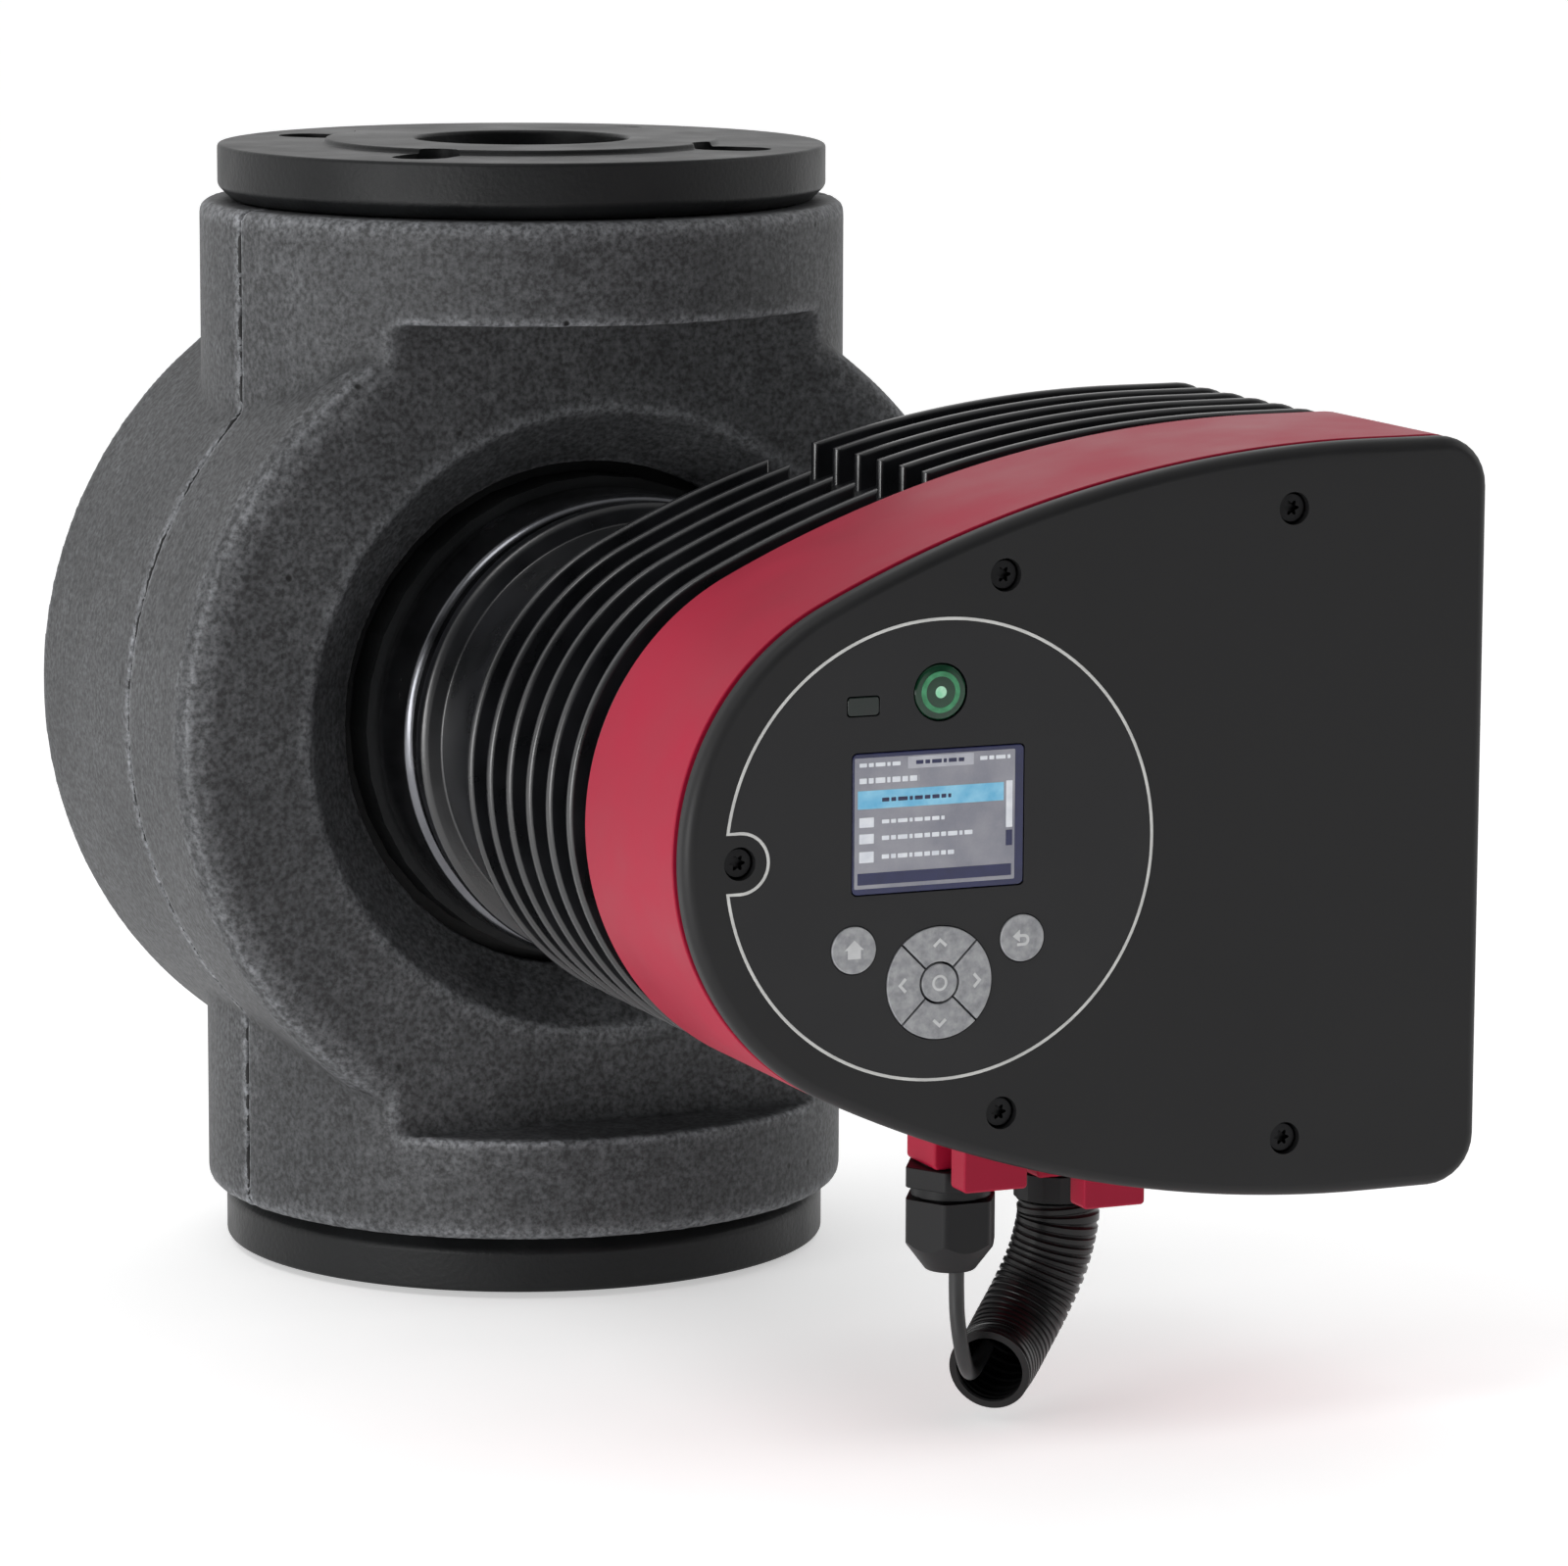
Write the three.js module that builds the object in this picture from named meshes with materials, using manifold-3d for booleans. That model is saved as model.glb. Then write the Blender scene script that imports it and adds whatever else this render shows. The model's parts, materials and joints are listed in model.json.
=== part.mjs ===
// In-line circulator pump. Millimetres. Z runs along the pipe and Y along the shaft, with the
// control box towards -Y. The origin is where the pipe axis crosses the shaft axis.
import * as THREE from 'three';
import { mergeVertices } from 'three/addons/utils/BufferGeometryUtils.js';
import Module from 'manifold-3d';

const wasm = await Module();
wasm.setup();
const { Manifold, Mesh } = wasm;

// Driving dimensions.
const gap = 0.3;
const weld = 1e-4;
const far = 500;
const pipe = { half: 170, bore: 32.5, neck: 42, flange: 92.5, thick: 18 };
const flangeFace = { radius: 60, lift: 1.5, bolts: 69, boltRadius: 8.5, slot: 7.5 };
const volute = { radius: 88, front: -46, back: 58, chamber: 66, collar: 73, collarEnd: -61 };
const ducts = { suction: 26, discharge: 22, bearingSeat: 36, eyeSeat: 34.3, eye: 30 };
const foam = { disc: 133, neck: 98, face: -70, back: 74, split: -17, step: 121, end: 151.5 };
const foamOpening = { radius: 76.5, lip: -52.5, depth: -48, wide: 94, clear: 3, nutRoom: 86, floor: 6 };
const motor = { bore: 57.3, neck: 63, spigot: 63.7, back: -51, finBack: -146, end: -200 };
const lip = { inner: 66, outer: 69, start: -93, end: -98.4 };
const clamp = { outer: 70.3, front: -88, lug: 80, lugX: 66, screwX: 75, slit: 1.5, lugZ: 9, lugHalf: 8 };
const winding = { inner: 42.5, outer: 55, front: -77, rear: -186 };
const stack = { inner: 41, outer: 57, front: -96, rear: -164, rotor: 38.5 };
const bearing = { bore: 8.05, outer: 14.2, frontFrom: -74, frontTo: -57, rearFrom: -194, rearTo: -179 };
const head = { nose: 74, top: 104.5, knee: 130, right: 164, corner: 14 };
const fins = { count: 6, pitch: 15.5, thick: 3.4, depth: 11, first: -147.5, base: -233 };
const finBreak = { from: 19, to: 33, inner: 73, outer: 110 };
const pocket = { nose: 52, from: 72, to: 150, half: 84 };
const plane = { sink: -240, frame: -303.2, cover: -303.5, face: -312, key: -312.6 };
const frameWall = 4;
const cover = { wall: 5, skin: 4, soft: 3.2, boss: 7, recess: 1.2 };
const panel = { radius: 62.4, notch: 8, thick: 0.9 };
const keypad = { x: -0.5, z: -35.9, radius: 15.3, ok: 5.2, slit: 0.6, back: -305.6 };
const sideKeys = { radius: 6.4, z: -25.4, homeX: -25.5, backX: 23.8 };
const screen = { x: -1, z: 8.3, width: 50, height: 38, corner: 1.5 };
const lamp = { x: -0.6, z: 42.6, radius: 7.6, back: -306 };
const status = { x: -23, z: 40, width: 9, height: 5, corner: 1 };
const screw = { head: 4.1, well: 4.6, sink: 1.8, shank: 2, pilot: 2.3, flats: 3.6, length: 22 };
const screwSpots = [[104, 87], [18.2, 73], [-58.3, 0], [18.2, -73], [104, -87]];
const gland = { x: 18.9, y: -278, top: -93.4, flats: 23.6, nut: 13.8, lead: 2.6, low: -123.4 };
const sleeve = { x: 62, y: -256, top: -103.3, outer: 11.6, inner: 9.3, adapter: 12.4 };
const leadRadius = 2.15;
const clampY = (volute.collarEnd - gap + clamp.front) / 2;

// Finishes.
const finish = {
  castIron: paint('#26282a', 0.45, 0.3),
  foam: paint('#424345', 0.95, 0),
  blackCast: paint('#141518', 0.4, 0.6),
  redPlastic: paint('#a5233b', 0.45, 0),
  blackPlastic: paint('#222324', 0.5, 0),
  steel: paint('#b9bbbd', 0.3, 1),
  blackSteel: paint('#1c1c1e', 0.3, 0.8),
  bronze: paint('#a9875a', 0.4, 0.9),
  copper: paint('#b06a3a', 0.4, 0.9),
  rubber: paint('#1a1a1a', 0.8, 0),
  greyKey: paint('#9b9c9d', 0.5, 0),
  screenGlass: paint('#5c6a86', 0.15, 0),
  greenLens: paint('#2c8a55', 0.2, 0),
  board: paint('#1f5a36', 0.6, 0),
  label: paint('#c9cacb', 0.4, 0.6),
};

const pump = new THREE.Group();

function paint(color, roughness, metalness) {
  return new THREE.MeshStandardMaterial({ color, roughness, metalness });
}

// Closed three.js geometry to a solid, whichever way round its faces were wound.
function solidOf(geometry) {
  const bare = geometry.clone();
  bare.deleteAttribute('normal');
  bare.deleteAttribute('uv');
  const merged = mergeVertices(bare, weld);
  const index = Array.from(merged.index.array);
  const kept = [];
  for (let i = 0; i < index.length; i += 3) {
    const [a, b, c] = index.slice(i, i + 3);
    if (a !== b && b !== c && c !== a) kept.push(a, b, c);
  }
  const vertProperties = new Float32Array(merged.attributes.position.array);
  const build = (tris) => {
    const triVerts = new Uint32Array(tris);
    return new Manifold(new Mesh({ numProp: 3, vertProperties, triVerts }));
  };
  const solid = build(kept);
  return solid.volume() > 0 ? solid : build(kept.reverse());
}

function addPiece(name, solid, material) {
  const data = solid.getMesh();
  const geometry = new THREE.BufferGeometry();
  const points = new Float32Array(data.numVert * 3);
  for (let i = 0; i < data.numVert; i += 1) points.set(data.position(i), i * 3);
  geometry.setAttribute('position', new THREE.BufferAttribute(points, 3));
  geometry.setIndex(Array.from(data.triVerts));
  geometry.computeVertexNormals();
  const mesh = new THREE.Mesh(geometry, material);
  mesh.name = name;
  pump.add(mesh);
}

const join = (...solids) => Manifold.union(solids);
const cut = (solid, ...tools) => solid.subtract(Manifold.union(tools));

// Turned round Y from [radius, y] corners. A profile off the axis is closed into a ring.
function turned(profile, segments = 24) {
  const corners = profile.map(([radius, y]) => new THREE.Vector2(radius, y));
  if (profile[0][0] > 0) corners.push(corners[0].clone());
  return solidOf(new THREE.LatheGeometry(corners, segments));
}

function disc(radius, yFront, yBack, segments = 24) {
  return turned([[0, yFront], [radius, yFront], [radius, yBack], [0, yBack]], segments);
}

function ring(inner, outer, yFront, yBack, segments = 24) {
  return turned([[inner, yFront], [outer, yFront], [outer, yBack], [inner, yBack]], segments);
}

const upright = (solid) => solid.rotate([90, 0, 0]);
const postZ = (x, y, radius, zLow, zHigh, segments = 16) =>
  upright(disc(radius, zLow, zHigh, segments)).translate([x, y, 0]);
const pegY = (x, z, radius, yFront, yBack, segments = 12) =>
  disc(radius, yFront, yBack, segments).translate([x, 0, z]);

function block(x0, x1, y0, y1, z0, z1) {
  const box = new THREE.BoxGeometry(x1 - x0, y1 - y0, z1 - z0);
  return solidOf(box.translate((x0 + x1) / 2, (y0 + y1) / 2, (z0 + z1) / 2));
}

// Plate across Y, drawn in x and z, with its front edge rounded over by `soft`.
function plate(points, yFront, yBack, soft = 0) {
  const shape = new THREE.Shape(points.map(([x, z]) => new THREE.Vector2(x, z)));
  const bevel = { bevelSize: soft, bevelThickness: soft, bevelOffset: -soft, bevelSegments: 1 };
  const depth = yBack - yFront;
  const geometry = new THREE.ExtrudeGeometry(shape, { depth, bevelEnabled: soft > 0, ...bevel });
  geometry.rotateX(Math.PI / 2).translate(0, yFront + soft + depth, 0);
  const behind = block(-far, far, yBack, yBack + far, -far, far);
  return solidOf(geometry).subtract(behind);
}

function arc(cx, cz, radius, from, to, steps) {
  const points = [];
  for (let i = 0; i <= steps; i += 1) {
    const angle = THREE.MathUtils.degToRad(from + ((to - from) * i) / steps);
    points.push([cx + radius * Math.cos(angle), cz + radius * Math.sin(angle)]);
  }
  return points;
}

// Drop-shaped outline of the head: a round nose on the shaft axis, two long sweeps and two corners.
function outline(inset) {
  const { nose, top, knee, right, corner } = head;
  const sweep = (knee * knee + top * top - nose * nose) / (2 * (top - nose));
  const lean = THREE.MathUtils.radToDeg(Math.atan2(sweep - top, -knee));
  const bend = Math.max(corner - inset, 1);
  const edge = right - inset - bend;
  const height = top - inset - bend;
  return [
    ...arc(0, 0, nose - inset, lean, 360 - lean, 16),
    ...arc(knee, sweep - top, sweep - inset, 360 - lean, 270, 4).slice(1),
    ...arc(edge, -height, bend, 270, 360, 2),
    ...arc(edge, height, bend, 0, 90, 2),
    ...arc(knee, top - sweep, sweep - inset, 90, lean, 4).slice(0, -1),
  ];
}

function boxOutline(cx, cz, width, height, corner) {
  const x = width / 2 - corner;
  const z = height / 2 - corner;
  return [
    ...arc(cx + x, cz + z, corner, 0, 90, 2),
    ...arc(cx - x, cz + z, corner, 90, 180, 2),
    ...arc(cx - x, cz - z, corner, 180, 270, 2),
    ...arc(cx + x, cz - z, corner, 270, 360, 2),
  ];
}

// Round tube or bar along a smooth route.
function along(route, radius, sides, steps, inner = 0) {
  const circle = (size) => arc(0, 0, size, 0, 360, sides).slice(1).map((p) => new THREE.Vector2(...p));
  const section = new THREE.Shape(circle(radius));
  if (inner) section.holes.push(new THREE.Path(circle(inner).reverse()));
  const extrudePath = new THREE.CatmullRomCurve3(route.map((p) => new THREE.Vector3(...p)));
  return solidOf(new THREE.ExtrudeGeometry(section, { steps, bevelEnabled: false, extrudePath }));
}

function hex(acrossFlats, zLow, zHigh) {
  const radius = acrossFlats / 2 / Math.cos(Math.PI / 6);
  return upright(disc(radius, zLow, zHigh, 6));
}

// ---- Pump housing ----

function boltSlot(low, high) {
  const { bolts, boltRadius, slot } = flangeFace;
  const [near, out] = [bolts - slot / 2, bolts + slot / 2];
  const ends = [near, out].map((x) => postZ(x, 0, boltRadius, low, high, 8));
  return join(...ends, block(near, out, -boltRadius, boltRadius, low, high));
}

function flange() {
  const { half, flange: radius, thick } = pipe;
  const { radius: face, lift } = flangeFace;
  const low = half - thick;
  const under = [[0, low], [radius - 4, low], [radius, low + 4], [radius, half - 3]];
  const top = [[radius - 1.5, half - lift], [face, half - lift], [face, half], [0, half]];
  const solid = upright(turned([...under, ...top], 36));
  const slots = [45, 135, 225, 315].map((angle) => boltSlot(low - 1, half + 1).rotate([0, 0, angle]));
  return cut(solid, ...slots);
}

function volutePasses() {
  const { half, bore } = pipe;
  const suctionRoute = [[0, 0, -172], [0, 0, -130], [0, 3, -106], [0, 20, -76], [0, 32, -44], [0, 33, -10]];
  const dischargeRoute = [[0, 0, 172], [0, 0, 130], [0, -2, 104], [0, -12, 78], [0, -17, 50]];
  return [
    along(suctionRoute, ducts.suction, 10, 6),
    along(dischargeRoute, ducts.discharge, 10, 4),
    postZ(0, 0, bore, half - 50, half + 10, 20),
    postZ(0, 0, bore, -half - 10, 50 - half, 20),
  ];
}

function pumpHousing() {
  const { radius, front, back, chamber, collar, collarEnd } = volute;
  const body = turned([[0, front], [radius - 6, front], [radius, front + 6], [radius, back - 14],
    [radius - 14, back], [0, back]], 32);
  const necks = postZ(0, 0, pipe.neck, -160, 160, 20);
  const ports = join(flange(), flange().mirror([0, 0, 1]));
  return cut(join(body, necks, ports, disc(collar, collarEnd, front + 2, 32)),
    disc(chamber + gap, collarEnd - 1, front, 32),
    disc(chamber, front - 1, 0, 32),
    disc(ducts.eyeSeat, -1, 9, 24),
    disc(ducts.eye, 8, 20, 24),
    disc(ducts.bearingSeat, 14, 48, 24),
    ...volutePasses());
}

addPiece('pump_housing', pumpHousing(), finish.castIron);
addPiece('eye_ring', ring(29.5, 34, 0.5, 8.5, 24), finish.bronze);
addPiece('flow_sensor', disc(8, -70, -42.6, 16).translate([0, 0, 139]), finish.blackPlastic);

// ---- Foam shells ----

// Disc and pipe necks together; the necks' collars stand proud of the flat face beyond the steps.
function foamBlock() {
  const { disc: radius, neck, face, back, step, end } = foam;
  const round = turned([[0, face], [radius - 7, face], [radius - 2, face + 2], [radius, face + 7],
    [radius, back - 5], [radius - 5, back], [0, back]], 60);
  const necks = upright(turned([[0, -end], [neck - 2, -end], [neck, -end + 2], [neck, end - 2],
    [neck - 2, end], [0, end]], 48));
  const flats = join(block(-far, far, -far, face, -step, step), block(-far, far, back, far, -step, step));
  return join(round, necks.subtract(flats));
}

function foamHollow() {
  const { face, step, end } = foam;
  const { radius, lip: lipY, depth, wide, clear, nutRoom } = foamOpening;
  const floor = step + foamOpening.floor;
  const bowl = turned([[0, face - 1], [wide + 1, face - 1], [wide, face], [radius, lipY], [radius, depth],
    [0, depth]], 64);
  return join(
    bowl,
    disc(volute.radius + clear, depth - 0.5, volute.back + clear, 48),
    postZ(0, 0, pipe.neck + clear, -floor - 1, floor + 1, 24),
    postZ(0, 0, nutRoom, floor, end + 1, 48),
    postZ(0, 0, nutRoom, -end - 1, -floor, 48),
  );
}

const foamSolid = foamBlock().subtract(foamHollow());
const frontHalf = block(-far, far, -far, foam.split, -far, far);
const backHalf = block(-far, far, foam.split + gap, far, -far, far);
addPiece('insulation_front', foamSolid.intersect(frontHalf), finish.foam);
addPiece('insulation_rear', foamSolid.intersect(backHalf), finish.foam);

// ---- Motor ----

// Gaps through the fins above and below.
function finBreaks() {
  const { from, to, inner, outer } = finBreak;
  const [front, rear] = [fins.base + 1, motor.finBack + 4];
  return [block(from, to, front, rear, inner, outer), block(from, to, front, rear, -outer, -inner)];
}

function statorHousing() {
  const { bore, neck, spigot, back, finBack, end } = motor;
  const barrel = turned([[0, back], [spigot, back], [spigot, clamp.front], [lip.inner, clamp.front - gap],
    [lip.inner, lip.start], [lip.outer, lip.start - 0.6], [lip.outer, lip.end + 1], [lip.outer - 1, lip.end],
    [neck, lip.end], [neck, finBack - 1], [0, finBack - 1]], 28);
  const core = plate(outline(fins.depth), plane.sink, finBack);
  const base = plate(outline(3), plane.sink, fins.base);
  const blades = [];
  for (let i = 0; i < fins.count; i += 1) {
    const y = fins.first - i * fins.pitch;
    blades.push(plate(outline(0.8), y - fins.thick / 2, y + fins.thick / 2));
  }
  return cut(join(barrel, core, base, ...blades), ...finBreaks(),
    disc(bore, end, back + 1, 24),
    disc(pocket.nose, plane.sink - 1, end - 6, 24),
    block(pocket.from, pocket.to, plane.sink - 1, finBack - 12, -pocket.half, pocket.half));
}

// Split band with two lugs, tightened by one screw on the side away from the keypad's nose.
function clampRing() {
  const { outer, lug, lugX, screwX, slit, lugZ, lugHalf } = clamp;
  const inner = motor.spigot + 0.4;
  const [front, rear] = [clamp.front + gap, volute.collarEnd - gap];
  const band = turned([[inner, front], [outer - 2, front], [outer, front + 1.7], [outer, rear - 1.7],
    [outer - 1.5, rear], [inner, rear]], 32);
  const lugs = block(lugX, lug, clampY - lugHalf, clampY + lugHalf, -lugZ, lugZ);
  const split = block(60, 90, -100, -50, -slit, slit);
  const screwHole = postZ(screwX, clampY, 3.3, -20, 20, 16);
  return cut(join(band, lugs), split, screwHole, disc(inner, front - 1, rear + 1, 32));
}

function clampScrew() {
  const at = (radius, low, high, segments) => postZ(clamp.screwX, clampY, radius, low, high, segments);
  const socket = hex(5, 11, 20).translate([clamp.screwX, clampY, 0]);
  return join(at(3, -13, 9.4, 16), at(5, 9.3, 15, 20)).subtract(socket);
}

addPiece('stator_housing', statorHousing(), finish.blackCast);
addPiece('clamp_ring', clampRing(), finish.blackSteel);
addPiece('clamp_screw', clampScrew(), finish.steel);
addPiece('stator_core', ring(stack.inner, stack.outer, stack.rear, stack.front), finish.steel);
const coil = (from, to) => ring(winding.inner, winding.outer, from, to);
addPiece('winding_front', coil(stack.front + gap, winding.front), finish.copper);
addPiece('winding_rear', coil(winding.rear, stack.rear - gap), finish.copper);

// Thin cup round the rotor, with a seat for the rear bearing in its floor.
const canProfile = [[0, -198], [0, -197], [14.5, -197], [14.5, -178], [16.5, -178], [16.5, -197],
  [39.6, -197], [39.6, -66], [40.5, -66], [40.5, -198], [0, -198]];
addPiece('rotor_can', turned(canProfile, 28), finish.steel);
const bush = (from, to) => ring(bearing.bore, bearing.outer, from, to, 24);
addPiece('rear_bearing', bush(bearing.rearFrom, bearing.rearTo), finish.bronze);
addPiece('front_bearing', bush(bearing.frontFrom, bearing.frontTo), finish.bronze);
const plateProfile = [[9, -34.3], [65.7, -34.3], [65.7, -45.6], [62, -46.3], [62, -50.5], [20, -50.5],
  [20, -76], [14.5, -76], [14.5, -56], [9, -56]];
addPiece('bearing_plate', turned(plateProfile, 32), finish.steel);
addPiece('housing_seal', turned(arc(64.3, -48.2, 1.7, 0, 300, 5), 28), finish.rubber);

// ---- Turning parts ----

function impeller() {
  const hub = ring(6.3, 14, -32, -10, 16);
  const back = ring(6.3, 62, -30, -27, 24);
  const shroud = join(ring(26, 62, -8, -5, 24), ring(26, 29, -8, 6, 24));
  const vanes = [];
  for (let i = 0; i < 6; i += 1) {
    const camber = arc(30, -12, 34, 95, 170, 4);
    const outer = arc(30, -12, 37, 170, 95, 4);
    vanes.push(plate([...camber, ...outer], -27.5, -7.5).rotate([0, i * 60, 0]));
  }
  const room = disc(61, -31, -4, 24);
  return join(hub, back, shroud, join(...vanes).intersect(room).subtract(disc(7, -40, 10)));
}

const shaftProfile = [[0, 2], [6, 2], [6, -32.3], [8, -32.3], [8, -194], [0, -194]];
addPiece('shaft', turned(shaftProfile, 24), finish.steel);
addPiece('impeller', impeller(), finish.steel);
addPiece('impeller_nut', cut(hex(15, -9.6, -2).rotate([90, 0, 0]), disc(6.3, -20, 20, 24)), finish.steel);
addPiece('rotor_core', ring(8.3, stack.rotor, stack.rear, stack.front), finish.steel);
addPiece('thrust_disc', ring(8.3, 18, stack.front + gap, -91, 24), finish.bronze);

// ---- Control box ----

// Post behind each cover screw, with a web back to the wall.
function screwPosts() {
  const { frame } = plane;
  const back = frame + 20;
  return screwSpots.flatMap(([x, z]) => {
    const outward = z + Math.sign(z) * (Math.abs(z) > 80 ? 15 : 13);
    const web = z
      ? block(x - 4, x + 4, frame, back, Math.min(z, outward), Math.max(z, outward))
      : block(x - 14, x, frame, back, -4, 4);
    return [pegY(x, z, 6, frame, back), web];
  });
}

// Pads under the box that carry the gland and the sleeve, and the two cover tabs in front of them.
function entryPads() {
  const { x, y, top } = sleeve;
  return [
    block(gland.x - 9.2, gland.x + 9.2, gland.y - 9.3, gland.y + 9.3, gland.top, -74),
    block(x - 12, x + 12, y - 12, y + 12, top + gap, -96),
    block(12, 31, -302, -293, -97, -80),
    block(48, 66.5, -302, -293, -104.5, -92),
  ];
}

function controlFrame() {
  const { frame } = plane;
  const back = plane.sink - gap;
  const wall = cut(plate(outline(0), frame, back), plate(outline(frameWall), frame - 1, back + 1));
  const pilots = screwSpots.map(([x, z]) => pegY(x, z, screw.pilot, frame - 1, frame + 16));
  return cut(join(wall, ...screwPosts(), ...entryPads()), ...pilots,
    postZ(gland.x, gland.y, 8.6, -110, -70),
    postZ(sleeve.x, sleeve.y, 9.8, -110, -85));
}

function panelOutline(clearance) {
  const notch = panel.notch + clearance;
  const reach = THREE.MathUtils.radToDeg(Math.asin(notch / panel.radius));
  const [x] = screwSpots[2];
  const rim = arc(0, 0, panel.radius - clearance, -180 + reach, 180 - reach, 32);
  return [...rim, ...arc(x, 0, notch, 90, -90, 5)];
}

function grown({ x, z, width, height, corner }, by) {
  return boxOutline(x, z, width + 2 * by, height + 2 * by, corner);
}

// Openings that the cover and the panel share, each `clearance` larger than what stands in it.
function faceHoles(clearance, yFront, yBack) {
  const round = ([x, z, radius, segments]) => pegY(x, z, radius + clearance, yFront, yBack, segments);
  return [
    plate(grown(screen, clearance), yFront, yBack),
    plate(grown(status, clearance), yFront, yBack),
    round([lamp.x, lamp.z, lamp.radius]),
    round([keypad.x, keypad.z, keypad.radius, 20]),
    round([sideKeys.homeX, sideKeys.z, sideKeys.radius]),
    round([sideKeys.backX, sideKeys.z, sideKeys.radius]),
  ];
}

function controlCover() {
  const { cover: back, face } = plane;
  const skin = face + cover.skin;
  const tray = cut(plate(outline(0), face, back, cover.soft), plate(outline(cover.wall), skin, back + 1));
  const bosses = screwSpots.map(([x, z]) => pegY(x, z, cover.boss, face + 2, back));
  const recess = plate(panelOutline(0), face - 1, face + cover.recess);
  const wells = screwSpots.map(([x, z]) => pegY(x, z, screw.well, face - 1, face + 5.5));
  const pilots = screwSpots.map(([x, z]) => pegY(x, z, screw.pilot, face - 1, back + 1));
  const holes = faceHoles(gap, face - 1, back + 1);
  return cut(join(tray, ...bosses), recess, ...wells, ...pilots, ...holes);
}

function coverScrew(x, z) {
  const top = plane.face + screw.sink;
  const socket = hex(screw.flats, -2, 2).rotate([90, 0, 0]).translate([x, top, z]);
  const screwHead = pegY(x, z, screw.head, top, top + 3.4, 12);
  const shank = pegY(x, z, screw.shank, top + 3.3, plane.face + screw.length, 8);
  return join(screwHead, shank).subtract(socket);
}

function displayPanel() {
  const { face } = plane;
  return cut(plate(panelOutline(0.25), face, face + panel.thick), ...faceHoles(gap, face - 1, face + 2));
}

addPiece('control_frame', controlFrame(), finish.redPlastic);
const gasketOuter = plate(outline(frameWall + 0.4), plane.sink - 3, plane.sink - gap);
addPiece('frame_gasket', cut(gasketOuter, plate(outline(7), -250, -230)), finish.rubber);
addPiece('control_cover', controlCover(), finish.blackPlastic);
addPiece('display_panel', displayPanel(), finish.blackPlastic);
addPiece('display_window', plate(grown(screen, 0), plane.face + 0.1, plane.face + 3), finish.screenGlass);
addPiece('display_module', block(-27, 25, -307.7, -303, -11, 27.6), finish.steel);
const lens = pegY(lamp.x, lamp.z, lamp.radius, plane.face - 0.2, lamp.back, 28);
addPiece('indicator_lens', lens, finish.greenLens);
addPiece('status_window', plate(grown(status, 0), plane.face, -307), finish.greenLens);
screwSpots.forEach(([x, z], i) => addPiece(`cover_screw_${i + 1}`, coverScrew(x, z), finish.blackSteel));

// ---- Keys ----

// One quarter of the navigation pad, centred on the direction `turn` degrees from +X.
function quarterKey(turn) {
  const { x, z, radius, ok, slit } = keypad;
  const rim = arc(x, z, radius, turn - 44, turn + 44, 8);
  const heel = arc(x, z, ok + slit, turn + 42.4, turn - 42.4, 5);
  return plate([...rim, ...heel], plane.key, keypad.back);
}

const roundKey = (x, z, radius) => pegY(x, z, radius, plane.key, keypad.back, 24);

addPiece('key_right', quarterKey(0), finish.greyKey);
addPiece('key_up', quarterKey(90), finish.greyKey);
addPiece('key_left', quarterKey(180), finish.greyKey);
addPiece('key_down', quarterKey(270), finish.greyKey);
addPiece('key_ok', roundKey(keypad.x, keypad.z, keypad.ok), finish.greyKey);
addPiece('key_home', roundKey(sideKeys.homeX, sideKeys.z, sideKeys.radius), finish.greyKey);
addPiece('key_back', roundKey(sideKeys.backX, sideKeys.z, sideKeys.radius), finish.greyKey);
addPiece('key_mat', block(-34, 33, keypad.back + 1, -302.9, -53, -16), finish.greyKey);

// ---- Electronics ----

addPiece('control_board', block(-34, 44, -302.5, -300.9, -54, 54), finish.board);
addPiece('power_board', block(74, 146, -262, -260, -80, 80), finish.board);
addPiece('capacitor_1', pegY(96, 34, 13, -259.7, -205, 24), finish.blackPlastic);
addPiece('capacitor_2', pegY(96, -34, 13, -259.7, -205, 24), finish.blackPlastic);
addPiece('terminal_block', block(40, 66, -282, -262, -74, -60), finish.greyKey);
addPiece('nameplate', block(head.right + gap, head.right + 1, -296, -250, -26, 26), finish.label);

// ---- Cable entries ----

const glandHole = postZ(0, 0, gland.lead, -140, -60, 16);
const atGland = (solid) => solid.subtract(glandHole).translate([gland.x, gland.y, 0]);

function glandBody() {
  const { top, flats } = gland;
  return atGland(join(
    hex(flats, top - 6.2, top - gap),
    postZ(0, 0, 8, top - 1, -76),
    postZ(0, 0, 11, top - 9, top - 6),
    postZ(0, 0, 8.5, top - 18, top - 8),
  ));
}

function glandNut() {
  const { low, nut, flats } = gland;
  const skin = upright(turned([[0, low], [7, low], [nut, low + 9], [nut, low + 20.6], [0, low + 20.6]], 24));
  return atGland(cut(skin.intersect(hex(flats, low - 1, low + 30)), postZ(0, 0, 8.9, low + 4, low + 40)));
}

// Collar that holds the corrugated sleeve to the box, open for the mains lead.
function sleeveAdapter() {
  const { x, y, top, adapter, inner } = sleeve;
  const flange = postZ(x, y, adapter, -111, top - gap);
  const spigot = postZ(x, y, inner + 0.1, -105, -86);
  return cut(join(flange, spigot), postZ(x, y, 7, -120, -80));
}

const sleeveRoute = [[62, -256, -111.6], [62, -256, -118], [59.5, -255.2, -129], [54.5, -255.6, -139],
  [47.5, -258.8, -147.5], [40.5, -264.6, -153], [33.9, -272, -155]];
const leadRoute = [[20.9, -278, -123.9], [20.9, -278.1, -130], [21, -278.6, -137], [21.8, -279, -144],
  [23.6, -277.8, -150], [26.6, -274.2, -154.2], [30.4, -268.8, -155.6], [34.4, -263.8, -154.4],
  [38.6, -260, -151.4]];

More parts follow.
